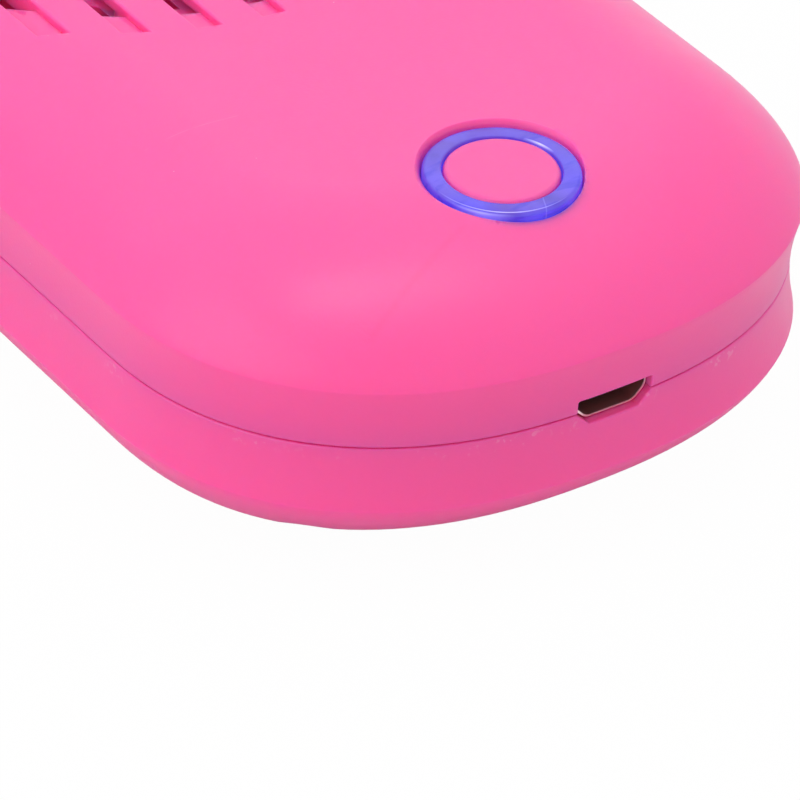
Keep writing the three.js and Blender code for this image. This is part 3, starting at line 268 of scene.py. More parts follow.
# Studio
CAMERA_TURNS = (-36.602, 35.178, 3.367)
CAMERA_LENS = (268.563, 36)
CAMERA_CLIP = (0.05, 20)
CAMERA_AIM = (-0.015535, -0.045582, 0.0148)
CAMERA_DISTANCE = 0.519338
WORLD_LIGHT = 0.81
SOFTBOXES = {
    "overhead_softbox": ((0.1, 0.36, 0.93), 1.2, (1.8, 1.8), 4.5),
    "left_softbox": ((-0.8, 0, 0.6), 1, (0.9, 0.9), 2.85),
    "shoulder_striplight": ((0.06, 0, 1), 1, (0.2, 0.6), 1.1)}
FLOOR_SIZE = 6
FLOOR_COLOUR = 0.75
FLOOR_WHITENESS = 0.98


def middle(node):
    """Centre of a node's box."""
    low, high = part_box(node)
    return (low + high) / 2


FAN = middle("impeller")
BUTTON = middle("light_ring")

# One half of the body: which way it faces, and the rounding of its dome
Side = namedtuple("Side", "up side_round end_round")
TOP = Side(1, 0.0165, 0.0205)
BOTTOM = Side(-1, 0.0121, 0.0151)


# Modelling steps

def only(piece):
    """Selects one piece and makes it active."""
    bpy.ops.object.select_all(action="DESELECT")
    piece.select_set(True)
    bpy.context.view_layer.objects.active = piece


def named(piece, name):
    piece.name = name
    piece.data.name = name
    return piece


def opened(piece):
    """Takes a piece into edit mode with all of it selected."""
    only(piece)
    bpy.ops.object.mode_set(mode="EDIT")
    bpy.ops.mesh.select_all(action="SELECT")


def closed(piece):
    bpy.ops.object.mode_set(mode="OBJECT")
    return piece


def choose(piece, part, wanted):
    """In edit mode, selects the vertices, edges or faces that pass a test."""
    bpy.ops.mesh.select_mode(type={"verts": "VERT", "edges": "EDGE", "faces": "FACE"}[part])
    bpy.ops.mesh.select_all(action="DESELECT")
    shape = bmesh.from_edit_mesh(piece.data)
    for item in getattr(shape, part):
        item.select_set(bool(wanted(item)))
    shape.select_flush_mode()
    bmesh.update_edit_mesh(piece.data)


def settle(piece):
    """Puts a piece's place into its mesh."""
    only(piece)
    bpy.ops.object.transform_apply(location=True, rotation=True, scale=True)
    return piece


def modify(piece, kind, **settings):
    """Adds a modifier and applies it."""
    only(piece)
    modifier = piece.modifiers.new(kind.lower(), kind)
    for name, value in settings.items():
        setattr(modifier, name, value)
    bpy.ops.object.modifier_apply(modifier=modifier.name)
    return piece


def outlined(points, fill="NGON"):
    """A flat face, or a bare wire, through (x, y, z) points, made from a circle."""
    bpy.ops.object.select_all(action="DESELECT")
    bpy.ops.mesh.primitive_circle_add(vertices=len(points), fill_type=fill)
    piece = bpy.context.object
    for vertex, point in zip(piece.data.vertices, points):
        vertex.co = point
    return piece


def combine(piece, tool, operation):
    """Cuts a piece by a tool, joins them or keeps what they share, and removes the tool."""
    modify(piece, "BOOLEAN", operation=operation, object=tool, solver="MANIFOLD")
    bpy.data.objects.remove(tool)
    return piece


def carve(piece, *tools):
    for tool in tools:
        combine(piece, tool, "DIFFERENCE")
    return piece


def joined(pieces):
    """One object from several that don't touch."""
    bpy.ops.object.select_all(action="DESELECT")
    for piece in pieces:
        piece.select_set(True)
    bpy.context.view_layer.objects.active = pieces[0]
    bpy.ops.object.join()
    return pieces[0]


def outward(piece):
    """Merges doubles and turns all faces out, on a piece that is still one solid skin."""
    opened(piece)
    bpy.ops.mesh.remove_doubles(threshold=MERGE)
    bpy.ops.mesh.normals_make_consistent(inside=False)
    return closed(piece)


def smoothed(piece, degrees=32):
    """Smooth shading that leaves real edges crisp and flat faces flat."""
    only(piece)
    bpy.ops.object.shade_smooth_by_angle(angle=math.radians(degrees))
    modify(piece, "WEIGHTED_NORMAL", keep_sharp=True)
    return piece


def copy_of(node):
    """A merged copy of a frame node's mesh, to be cut and reused."""
    source = frame["nodes"][node]
    piece = bpy.data.objects.new(node + "_copy", source.data.copy())
    bpy.context.scene.collection.objects.link(piece)
    piece.data.materials.clear()
    opened(piece)
    bpy.ops.mesh.remove_doubles(threshold=MERGE)
    return closed(piece)


# Body form

def plan_outline(half_width, end_depth):
    """The body's plan: two superelliptic ends joined by straight sides."""
    points = []
    for end in (-1, 1):
        for step in range(END_STEPS + 1):
            turn = math.pi * (step / END_STEPS - 0.5)
            across = math.copysign(abs(math.sin(turn)) ** (2 / END_SIDE_POWER), turn)
            along = abs(math.cos(turn)) ** (2 / END_TIP_POWER)
            points.append((-end * half_width * across, end * (END_CENTRE + end_depth * along)))
        x, y = points[-1]
        for step in range(1, SIDE_STEPS):
            points.append((x, y * (1 - 2 * step / SIDE_STEPS)))
    return points


def waist_inset(height):
    """How far the hollow waist lies inside the parting outline at a height."""
    return -WAIST_HOLLOW * min(height / WAIST_HEIGHT, 1) ** 2


def dome_levels(side, depth, start):
    """Levels (height, side inset, end inset) of the waist and dome, drawn in by a depth."""
    levels = []
    for step in range(WAIST_STEPS + 1):
        height = start + (WAIST_HEIGHT - start) * step / WAIST_STEPS
        inset = depth + waist_inset(max(height, 0))
        levels.append((height, inset, inset))
    for step in range(1, DOME_STEPS + 1):
        turn = math.pi / 2 * step / DOME_STEPS
        drawn = 1 - math.cos(turn)
        height = WAIST_HEIGHT + (DOME_RISE - depth) * math.sin(turn) ** SHOULDER_POWER
        inset = depth - WAIST_HOLLOW
        levels.append((height, inset + side.side_round * drawn, inset + side.end_round * drawn))
    return levels


def rim_levels():
    """The small round where a cover meets the parting line."""
    levels = []
    for step in range(RIM_STEPS):
        turn = math.pi / 2 * step / RIM_STEPS
        inset = RIM_ROUND * (1 - math.sin(turn))
        levels.append((SEAM / 2 + RIM_ROUND * (1 - math.cos(turn)), inset, inset))
    return levels


def resize_chosen(piece, wanted, value, centre):
    """In edit mode, scales the vertices that pass a test about a centre."""
    choose(piece, "verts", wanted)
    bpy.ops.transform.resize(value=value, center_override=centre)


def loft(name, side, levels):
    """A solid pulled up level by level from the body's plan, each level drawn in from the last."""
    height, side_inset, end_inset = levels[0]
    half_width, end_depth = HALF_WIDTH - side_inset, END_DEPTH - end_inset
    outline = plan_outline(half_width, end_depth)
    piece = named(outlined([(x, y, PARTING_Z + side.up * height) for x, y in outline]), name)
    opened(piece)
    bpy.ops.mesh.select_mode(type="FACE")
    for next_height, side_inset, end_inset in levels[1:]:
        rise = side.up * (next_height - height)
        bpy.ops.mesh.extrude_region_move(TRANSFORM_OT_translate={"value": (0, 0, rise)})
        next_width, next_depth = HALF_WIDTH - side_inset, END_DEPTH - end_inset
        bpy.ops.transform.resize(value=(next_width / half_width, 1, 1), center_override=(0, 0, 0))
        shape = bmesh.from_edit_mesh(piece.data)
        ring = {vertex.index for vertex in shape.verts if vertex.select}
        for end in (-1, 1):
            resize_chosen(
                piece, lambda v: v.index in ring and v.co.y * end > END_CENTRE - 10 * MERGE,
                (1, next_depth / end_depth, 1), (0, end * END_CENTRE, 0))
        choose(piece, "faces", lambda f: all(v.index in ring for v in f.verts))
        height, half_width, end_depth = next_height, next_width, next_depth
    return outward(closed(piece))


def skin_height(x, y, side):
    """Height of the outer skin over the parting plane at a point of the plan."""
    def turned_in(turn):
        drawn = 1 - math.cos(turn)
        width = HALF_WIDTH + WAIST_HOLLOW - side.side_round * drawn
        depth = END_DEPTH + WAIST_HOLLOW - side.end_round * drawn
        beyond = max(abs(y) - END_CENTRE, 0)
        return (abs(x) / width) ** END_SIDE_POWER + (beyond / depth) ** END_TIP_POWER > 1
    if not turned_in(math.pi / 2):
        return WAIST_HEIGHT + DOME_RISE
    low, high = 0, math.pi / 2
    for _ in range(BISECTIONS):
        turn = (low + high) / 2
        low, high = (low, turn) if turned_in(turn) else (turn, high)
    return WAIST_HEIGHT + DOME_RISE * math.sin(low) ** SHOULDER_POWER


def skin_reach(x, height):
    """How far the outer skin reaches towards either end, at a side offset and a height in the waist."""
    inset = waist_inset(abs(height))
    across = min(abs(x) / (HALF_WIDTH - inset), 1)
    return END_CENTRE + (END_DEPTH - inset) * (1 - across ** END_SIDE_POWER) ** (1 / END_TIP_POWER)


def on_dome(side):
    """Lays a tool's (x, y, height over the skin) on a dome."""
    return lambda u, v, w: (u, v, PARTING_Z + side.up * (skin_height(u, v, side) + w))


def on_end(end):
    """Lays a tool's (x, height, distance out of the skin) on an end."""
    return lambda u, v, w: (u, end * (skin_reach(u, v) + w), PARTING_Z + v)


def flared(tool, place, centre, half, depth, rim):
    """Pulls a flat start up into a cutting tool with a flared mouth, which leaves a rounded rim."""
    steps = [(0, -rim)] if depth > rim else []
    for step in range(1, FLARE_STEPS + 1):
        turn = FLARE_TURN * step / FLARE_STEPS
        steps.append((rim * (1 - math.cos(turn)), rim * (math.sin(turn) / math.sin(FLARE_TURN) - 1)))
    outset, height = steps[-1]
    steps.append((outset + FLARE_REACH, height + FLARE_REACH / math.tan(FLARE_TURN)))
    steps.append((outset + FLARE_REACH, OVERRUN))
    opened(tool)
    bpy.ops.mesh.select_mode(type="FACE")
    outset, height = 0, -depth
    for next_outset, next_height in steps:
        if next_height <= height:
            continue
        bpy.ops.mesh.extrude_region_move(TRANSFORM_OT_translate={"value": (0, 0, next_height - height)})
        grown = [(reach + next_outset) / (reach + outset) for reach in half]
        bpy.ops.transform.resize(value=(*grown, 1), center_override=(*centre, 0))
        outset, height = next_outset, next_height
    for vertex in closed(tool).data.vertices:
        vertex.co = place(*vertex.co)
    return outward(tool)


def grid_tool(centre, half, depth, rim, place, steps, warp=None):
    """A flared tool with a rectangular mouth. Warp moves the points of its plan."""
    bpy.ops.object.select_all(action="DESELECT")
    bpy.ops.mesh.primitive_grid_add(x_subdivisions=steps[0], y_subdivisions=steps[1], size=2)
    tool = bpy.context.object
    for vertex in tool.data.vertices:
        u, v = centre[0] + half[0] * vertex.co.x, centre[1] + half[1] * vertex.co.y
        if warp:
            u, v = warp(u, vertex.co.y)
        vertex.co = (u, v, -depth)
    return flared(tool, place, centre, half, depth, rim)


def round_tool(centre, radius, depth, rim, place):
    """A flared tool with a round mouth."""
    bpy.ops.object.select_all(action="DESELECT")
    bpy.ops.mesh.primitive_circle_add(vertices=SMALL_HOLE_STEPS, radius=radius, fill_type="NGON")
    tool = bpy.context.object
    for vertex in tool.data.vertices:
        vertex.co = (centre[0] + vertex.co.x, centre[1] + vertex.co.y, -depth)
    return flared(tool, place, centre, (radius, radius), depth, rim)


def outline_tool(points, centre, half, depth, rim, place):
    """A flared tool with a mouth of any outline."""
    return flared(outlined([(u, v, -depth) for u, v in points]), place, centre, half, depth, rim)


def slot_tools(side, reach, end_radius, depth):
    """One tool for each grille slot. Their ends follow an arc."""
    tools = []
    for slot in range(SLOT_COUNT):
        x = (slot - (SLOT_COUNT - 1) / 2) * SLOT_PITCH

        def ended(u, share):
            end = reach - end_radius + math.sqrt(end_radius ** 2 - u ** 2)
            return u, FAN.y + share * end
        tools.append(grid_tool(
            (x, FAN.y), (SLOT_WIDTH / 2, reach), depth, SLOT_RIM, on_dome(side), SLOT_STEPS, ended))
    return joined(tools)


def disc(x, y, radius, low, high, corners=DISC_STEPS):
    """An upright round plug."""
    bpy.ops.object.select_all(action="DESELECT")
    bpy.ops.mesh.primitive_cylinder_add(
        vertices=corners, radius=radius, depth=high - low, location=(x, y, (low + high) / 2))
    return settle(bpy.context.object)


def softened(corners, steps=5):
    """A closed outline of (x, y, radius) corners, each rounded by its radius."""
    points = []
    neighbours = zip(corners[-1:] + corners[:-1], corners, corners[1:] + corners[:1])
    for before, corner, after in neighbours:
        tip, radius = Vector(corner[:2]), corner[2]
        if not radius:
            points.append(tuple(tip))
            continue
        arrive = (Vector(before[:2]) - tip).normalized()
        leave = (Vector(after[:2]) - tip).normalized()
        half = arrive.angle(leave) / 2
        centre = tip + (arrive + leave).normalized() * radius / math.sin(half)
        first = tip + arrive * radius / math.tan(half) - centre
        last = tip + leave * radius / math.tan(half) - centre
        swing = first.angle_signed(last)
        for step in range(steps + 1):
            turn = Matrix.Rotation(-swing * step / steps, 2)
            points.append(tuple(centre + turn @ first))
    return points


def port_outline(gap, low_round):
    """The receptacle's outline grown by a gap: wide side up, narrowing below."""
    half, high, flat = PORT_HALF_WIDTH + gap, PORT_HALF_HEIGHT + gap, PORT_HALF_FLAT + gap / 2
    corners = [
        (-half, high, PORT_TOP_ROUND), (-half, PORT_CHAMFER - high, low_round), (-flat, -high, low_round),
        (flat, -high, low_round), (half, PORT_CHAMFER - high, low_round), (half, high, PORT_TOP_ROUND)]
    corners = [(PORT_OFFSET + x, y, radius + min(gap, 0)) for x, y, radius in corners]
    return softened(corners, PORT_ROUND_STEPS)


def divided(points, longest):
    """An outline with points added along its long edges."""
    fine = []
    for start, end in zip(points, points[1:] + points[:1]):
        start, end = Vector(start), Vector(end)
        parts = math.ceil((end - start).length / longest)
        fine += [tuple(start.lerp(end, part / parts)) for part in range(parts)]
    return fine


def port_tool():
    """A tool for the notch that the two covers leave round the port."""
    half = (PORT_HALF_WIDTH + PORT_GAP, PORT_HALF_HEIGHT + PORT_GAP)
    points = divided(port_outline(PORT_GAP, NOTCH_ROUND), PORT_FACET)
    return outline_tool(points, (PORT_OFFSET, 0), half, THROUGH, PORT_RIM, on_end(-1))


def mouth_tool():
    """A tool for the air outlet in the head."""
    half = (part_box("outlet_grille")[1].x + MOUTH_GAP, MOUTH_HALF_HEIGHT)
    return grid_tool((0, 0), half, MOUTH_DEPTH, MOUTH_RIM, on_end(1), MOUTH_STEPS)


def shell(name, side):
    """A cover's skin: the outer form, hollowed to the wall."""
    outer = dome_levels(side, 0, SEAM / 2 + RIM_ROUND)
    outer[0] = (outer[0][0], 0, 0)
    piece = loft(name, side, rim_levels() + outer)
    return carve(piece, loft("hollow", side, dome_levels(side, WALL, -OVERRUN)))


def ribs_of(node, side, lip):
    """What a cover carries inside its skin: bosses, duct wall, collar and lip."""
    levels = dome_levels(side, WALL - RIB_OVERLAP, RIB_FIT)
    if lip:
        inset = WALL - LIP_THICKNESS - RIB_FIT
        levels = [(-LIP_DEPTH, inset, inset), (-SEAM / 2, inset, inset)] + levels
    return combine(copy_of(node), loft("ribs", side, levels), "INTERSECT")


def button_dish():
    """A tool for the button's hole and the soft dip round it, which is wider towards the tail."""
    radius, floor = RING_RADIUS + HOLE_GAP, cad_high.z - DISH_DEPTH
    profile = [(0, floor - THROUGH), (radius, floor - THROUGH)]
    for step in range(DISH_STEPS + 1):
        across = step / DISH_STEPS
        rise = (1 - (1 - across) ** DISH_POWER) ** (1 / DISH_POWER)
        profile.append((radius + DISH_REACH * across, floor + (DISH_DEPTH + DISH_LIFT) * rise))
    profile += [(radius + DISH_REACH, cad_high.z + OVERRUN), (0, cad_high.z + OVERRUN)]
    tool = turned("dish", profile, BUTTON.xy, RING_STEPS)
    wide_side = Vector((math.cos(DISH_WIDE_TURN), math.sin(DISH_WIDE_TURN)))
    for vertex in tool.data.vertices:
        arm = (vertex.co - BUTTON).xy
        beyond = arm.length - radius
        if beyond > DISH_LIFT:
            towards = arm.normalized()
            arm = towards * (radius + beyond * (1 + DISH_WIDENING * max(towards.dot(wide_side), 0)))
            vertex.co.xy = BUTTON.xy + arm
    return tool


def top_cover():
    """The upper cover: skin, lip seat, slots, button hole, port notch, air outlet and its ribs."""
    piece = shell("top_cover_skin", TOP)
    inset = WALL - LIP_THICKNESS - LIP_FIT
    carve(piece, loft("seat", TOP, [(-OVERRUN, inset, inset), (LIP_SEAT, inset, inset)]))
    thinned_top = cad_high.z - GRILLE_WALL
    carve(piece, disc(FAN.x, FAN.y, GRILLE_THINNED_RADIUS, cad_high.z - WALL - OVERRUN, thinned_top))
    carve(
        piece,
        slot_tools(TOP, SHELF_REACH, SHELF_END_RADIUS, SHELF_DEPTH),
        slot_tools(TOP, SLOT_REACH, SLOT_END_RADIUS, THROUGH),
        button_dish(), port_tool(), mouth_tool())
    combine(piece, ribs_of("top_cover", TOP, False), "UNION")
    return smoothed(piece)


def bottom_cover():
    """The lower cover, with a closed pad under the motor and sunk screws."""
    piece = shell("bottom_cover_skin", BOTTOM)
    pad = (FAN.x, FAN.y, PAD_RADIUS, cad_low.z - OVERRUN, cad_low.z + THROUGH)
    shelves = carve(slot_tools(BOTTOM, SHELF_REACH, SHELF_END_RADIUS, SHELF_DEPTH), disc(*pad))
    slots = carve(slot_tools(BOTTOM, SLOT_REACH, SLOT_END_RADIUS, THROUGH), disc(*pad))
    carve(piece, shelves, slots, port_tool(), mouth_tool())
    for index in range(1, 5):
        x, y, _ = middle(f"case_screw_{index}")
        carve(piece, round_tool((x, y), WELL_RADIUS, WELL_DEPTH, WELL_RIM, on_dome(BOTTOM)))
    for index in range(1, 3):
        x, y, _ = middle(f"motor_screw_{index}")
        carve(
            piece,
            round_tool((x, y), COUNTERBORE_RADIUS, COUNTERBORE_DEPTH, COUNTERBORE_RIM, on_dome(BOTTOM)),
            disc(x, y, SHANK_BORE_RADIUS, cad_low.z, cad_low.z + THROUGH, SHANK_STEPS))
    combine(piece, ribs_of("bottom_cover", BOTTOM, True), "UNION")
    return smoothed(piece)


# Pieces of round and straight section

def turned(name, profile, centre, steps=ROUND_STEPS):
    """A closed profile of (radius, height) points spun round an upright axis."""
    points = [(centre[0] + radius, centre[1], height) for radius, height in profile]
    piece = named(outlined(points, "NOTHING"), name)
    opened(piece)
    choose(piece, "edges", lambda e: all(v.co.x - centre[0] < MERGE for v in e.verts))
    bpy.ops.mesh.delete(type="EDGE")
    bpy.ops.mesh.select_all(action="SELECT")
    bpy.ops.mesh.spin(steps=steps, angle=2 * math.pi, center=(*centre, 0), axis=(0, 0, 1))
    return outward(closed(piece))


def prism(name, points, low, high):
    """An outline of the plan pulled up between two heights."""
    piece = named(outlined([(x, y, low) for x, y in points]), name)
    opened(piece)
    bpy.ops.mesh.extrude_region_move(TRANSFORM_OT_translate={"value": (0, 0, high - low)})
    return outward(closed(piece))


def stood(piece, front):
    """Lays a prism over, so that its plan's y points up and its base faces the tail at a place."""
    for vertex in piece.data.vertices:
        x, y, z = vertex.co
        vertex.co = (x, front + z, PARTING_Z + y)
    return outward(piece)


def slab(name, low, high):
    """A straight block between two corners."""
    bpy.ops.object.select_all(action="DESELECT")
    bpy.ops.mesh.primitive_cube_add(size=1, location=(Vector(low) + Vector(high)) / 2)
    piece = named(bpy.context.object, name)
    piece.scale = Vector(high) - Vector(low)
    return settle(piece)


def rounded_edges(piece, width, segments=3, degrees=40):
    """Rounds the edges that are sharper than an angle."""
    return modify(
        piece, "BEVEL", width=width, segments=segments,
        limit_method="ANGLE", angle_limit=math.radians(degrees))


def copied(piece, name, place):
    """A copy of a piece with its own mesh, put in its place by a matrix."""
    only(piece)
    bpy.ops.object.duplicate()
    copy = named(bpy.context.object, name)
    copy.matrix_world = place
    return settle(copy)


def light_ring():
    """The clear ring with its flange below and the ledge that carries the cap."""
    low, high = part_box("light_ring")
    flange_top = low.z + RING_FLANGE_THICKNESS
    ledge_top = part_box("button_cap")[1].z - CAP_THICKNESS
    ledge_low = ledge_top - RING_LEDGE_THICKNESS
    profile = softened([
        (RING_BORE, low.z, 0), (high.x - BUTTON.x, low.z, 0), (high.x - BUTTON.x, flange_top, 0),
        (RING_RADIUS, flange_top, 0), (RING_RADIUS, high.z, RING_ROUND),
        (RING_BORE, high.z, RING_INNER_ROUND), (RING_BORE, ledge_top, 0),
        (RING_BORE - RING_LEDGE, ledge_top, 0), (RING_BORE - RING_LEDGE, ledge_low, 0),
        (RING_BORE, ledge_low, 0)])
    return smoothed(turned("light_ring_turned", profile, BUTTON.xy, RING_STEPS))


def button_cap():
    """The round-edged cap with the stem that presses the switch."""
    low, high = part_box("button_cap")
    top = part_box("light_ring")[1].z + CAP_RISE
    radius, underside = RING_BORE - CAP_GAP, high.z - CAP_THICKNESS
    profile = softened([
        (0, low.z, 0), (CAP_STEM_RADIUS, low.z, 0), (CAP_STEM_RADIUS, underside, 0),
        (radius, underside, 0), (radius, top, CAP_ROUND), (0, top, 0)])
    return smoothed(turned("button_cap_turned", profile, BUTTON.xy))


def usb_shell():
    """A folded metal shell, open at the front and closed round its sides."""
    low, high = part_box("usb_shell")
    deep = high.y - low.y
    piece = stood(prism("usb_shell_folded", port_outline(0, SHELL_ROUND), 0, deep), low.y)
    inside = prism("inside", port_outline(-SHELL_METAL, SHELL_ROUND), -OVERRUN, deep + OVERRUN)
    carve(piece, stood(inside, low.y))
    return smoothed(rounded_edges(piece, SHELL_EDGE, segments=2, degrees=60))


def outlet_grille():
    """A frame with upright vanes, its front following the curve of the head."""
    low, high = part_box("outlet_grille")
    head, rear = cad_high.y, low.y + GRILLE_FLANGE
    half_x, half_z = high.x, MOUTH_HALF_HEIGHT - MOUTH_GAP
    bottom, top = PARTING_Z - half_z, PARTING_Z + half_z
    piece = slab("outlet_grille_moulded", (-half_x, low.y, bottom), (half_x, head, top))
    combine(piece, slab("flange", (-half_x, low.y, low.z), (half_x, rear, high.z)), "UNION")
    carve(piece, slab(
        "hollow", (GRILLE_FRAME - half_x, low.y - OVERRUN, bottom + GRILLE_FRAME),
        (half_x - GRILLE_FRAME, head + OVERRUN, top - GRILLE_FRAME)))
    pitch = (2 * (half_x - GRILLE_FRAME) + VANE_THICKNESS) / (VANE_COUNT + 1)
    first = (1 - VANE_COUNT) / 2 * pitch
    vane = slab("vane", (first - VANE_THICKNESS / 2, low.y, bottom), (first + VANE_THICKNESS / 2, head, top))
    for index in range(1, VANE_COUNT):
        combine(piece, copied(vane, "vane", Matrix.Translation((index * pitch, 0, 0))), "UNION")
    combine(piece, vane, "UNION")
    reach = half_z + 2 * GRILLE_FLANGE
    levels = [(-reach, GRILLE_SETBACK, GRILLE_SETBACK), (reach, GRILLE_SETBACK, GRILLE_SETBACK)]
    combine(piece, loft("front", TOP, levels), "INTERSECT")
    return smoothed(rounded_edges(piece, GRILLE_EDGE))


def blade_outline(rim):
    """One forward-curved blade of the wheel, seen from above and centred on the shaft."""
    sides = [[], []]
    for step in range(BLADE_STEPS + 1):
        share = step / BLADE_STEPS
        radius = EYE_RADIUS + (rim - EYE_RADIUS) * share
        middle_turn = BLADE_LEAN * share ** 2 + BLADE_BULGE * math.sin(math.pi * share) / radius
        for side, points in zip((-1, 1), sides):
            turn = middle_turn + side * BLADE_THICKNESS / 2 / radius
            points.append((radius * math.cos(turn), radius * math.sin(turn)))
    return sides[0] + sides[1][::-1]


def impeller():
    """A two-sided blower wheel: blades between two hoops, carried by a disc and a boss."""
    low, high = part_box("impeller")
    axis, rim = (FAN.x, FAN.y), high.x - FAN.x
    disc_top = high.z - DISC_TOP_DROP
    disc_low = disc_top - DISC_THICKNESS
    disc_radius = EYE_RADIUS + BLADE_BULGE
    piece = turned("impeller_moulded", softened([
        (0, disc_low, 0), (disc_radius, disc_low, 0), (disc_radius, disc_top, 0),
        (BOSS_RADIUS, disc_top, DISC_THICKNESS / 2), (BOSS_RADIUS, high.z, IMPELLER_GAP),
        (0, high.z, 0)]), axis)
    blade = prism("blade", blade_outline(rim - IMPELLER_GAP), low.z, high.z)
    blades = []
    for index in range(BLADE_COUNT):
        turn = Matrix.Rotation(2 * math.pi * index / BLADE_COUNT, 4, "Z")
        blades.append(copied(blade, "blade", Matrix.Translation((*axis, 0)) @ turn))
    bpy.data.objects.remove(blade)
    combine(piece, joined(blades), "UNION")
    for base in (low.z, high.z - HOOP_HEIGHT):
        hoop = turned("hoop", softened([
            (rim - HOOP_WIDTH, base, 0), (rim, base, 0), (rim, base + HOOP_HEIGHT, 0),
            (rim - HOOP_WIDTH, base + HOOP_HEIGHT, 0)]), axis)
        combine(piece, hoop, "UNION")
    return smoothed(carve(piece, disc(*axis, BOSS_BORE, low.z - OVERRUN, high.z + OVERRUN, SMALL_HOLE_STEPS)))


def pan_screws(kind, count):
    """Pan-head screws with a cross recess, driven up from below or, into the board, down from above."""
    low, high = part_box(f"{kind}_1")
    centre, radius = middle(f"{kind}_1"), (high.x - low.x) / 2
    up = -1 if kind == "board_screw" else 1
    head, tip = (low.z, high.z) if up == 1 else (high.z, low.z)
    seat = head + up * SCREW_HEAD_HEIGHT
    first = turned(f"{kind}_1_turned", softened([
        (0, head, 0), (radius, head, SCREW_HEAD_ROUND), (radius, seat, 0), (SCREW_SHANK_RADIUS, seat, 0),
        (SCREW_SHANK_RADIUS, tip - up * SCREW_SHANK_RADIUS, 0), (0, tip, 0)]), centre[:2], SCREW_STEPS)
    for length, width in ((RECESS_LENGTH, RECESS_WIDTH), (RECESS_WIDTH, RECESS_LENGTH)):
        reach = Vector((length / 2, width / 2, RECESS_DEPTH))
        place = Vector((centre.x, centre.y, head))
        carve(first, slab("recess", place - reach, place + reach))
    smoothed(first)
    screws = [first]
    for index in range(2, count + 1):
        move = Matrix.Translation(middle(f"{kind}_{index}") - centre)
        screws.append(copied(first, f"{kind}_{index}_turned", move))
    return screws


# Finishes

class Finish:
    """A material whose colour, roughness and bump come from patterns on Object coordinates."""

    def __init__(self, name, metallic=0, **sockets):
        self.material = bpy.data.materials.new(name)
        self.material.use_nodes = True
        self.tree = self.material.node_tree
        self.shader = self.tree.nodes["Principled BSDF"]
        self.shader.inputs["Metallic"].default_value = metallic
        for socket, value in sockets.items():
            self.shader.inputs[socket.replace("_", " ")].default_value = value
        self.place = self.add("ShaderNodeTexCoord").outputs["Object"]

    def add(self, kind, **settings):
        node = self.tree.nodes.new(kind)
        for name, value in settings.items():
            setattr(node, name, value)
        return node

    def feed(self, socket, value):
        """Links an output to a socket, or writes a plain value there."""
        if isinstance(value, bpy.types.NodeSocket):
            self.tree.links.new(value, socket)
        else:
            socket.default_value = value

    def set(self, socket, value):
        self.feed(self.shader.inputs[socket], value)

    def noise(self, scale, detail=2, place=None):
        node = self.add("ShaderNodeTexNoise")
        self.feed(node.inputs["Vector"], place or self.place)
        node.inputs["Scale"].default_value = scale
        node.inputs["Detail"].default_value = detail
        return node.outputs["Fac"]

    def ranged(self, value, low, high, first=0.0, last=1.0):
        node = self.add("ShaderNodeMapRange")
        for socket, item in zip(node.inputs, (value, low, high, first, last)):
            self.feed(socket, item)
        return node.outputs["Result"]

    def maths(self, operation, first, second=0.0):
        node = self.add("ShaderNodeMath", operation=operation)
        self.feed(node.inputs[0], first)
        self.feed(node.inputs[1], second)
        return node.outputs[0]

    def blend(self, factor, first, second):
        """Mixes two colours, each an output or a plain red, green and blue."""
        node = self.add("ShaderNodeMix", data_type="RGBA")
        self.feed(node.inputs[0], factor)
        for socket, colour in zip(node.inputs[6:8], (first, second)):
            self.feed(socket, (*colour, 1) if isinstance(colour, tuple) else colour)
        return node.outputs[2]

    def split(self, place=None):
        node = self.add("ShaderNodeSeparateXYZ")
        self.feed(node.inputs[0], place or self.place)
        return node.outputs

    def moved(self, location=(0, 0, 0), turn=(0, 0, 0), scale=(1, 1, 1)):
        node = self.add("ShaderNodeMapping", vector_type="TEXTURE")
        self.feed(node.inputs["Vector"], self.place)
        node.inputs["Location"].default_value = location
        node.inputs["Rotation"].default_value = turn
        node.inputs["Scale"].default_value = scale
        return node.outputs["Vector"]

    def bump(self, height, distance):
        node = self.add("ShaderNodeBump")
        node.inputs["Distance"].default_value = distance
        self.feed(node.inputs["Height"], height)
        self.set("Normal", node.outputs["Normal"])

    def line(self, start, end, half_width):
        """1 on a straight mark between two points of the plan and 0 off it, on the upper side only."""
        along = Vector(end) - Vector(start)
        turn = math.atan2(along.y, along.x)
        x, y, z = self.split(self.moved((*start, PARTING_Z), (0, 0, turn)))
        across = self.ranged(self.maths("ABSOLUTE", y), 0, half_width, 1, 0)
        begun = self.ranged(x, -half_width, half_width)
        ended = self.ranged(x, along.length - half_width, along.length + half_width, 1, 0)
        upper = self.ranged(z, WAIST_HEIGHT - half_width, WAIST_HEIGHT)
        return self.product(across, begun, ended, upper)

    def product(self, first, *rest):
        for factor in rest:
            first = self.maths("MULTIPLY", first, factor)
        return first

    def spot(self, centre, radius):
        """1 at a place, falling to 0 at a radius round it."""
        node = self.add("ShaderNodeVectorMath", operation="DISTANCE")
        self.feed(node.inputs[0], self.place)
        node.inputs[1].default_value = centre
        return self.ranged(node.outputs["Value"], 0, radius, 1, 0)

    def cells(self, scale):
        node = self.add("ShaderNodeTexVoronoi")
        self.feed(node.inputs["Vector"], self.place)
        node.inputs["Scale"].default_value = scale
        return node.outputs["Distance"]


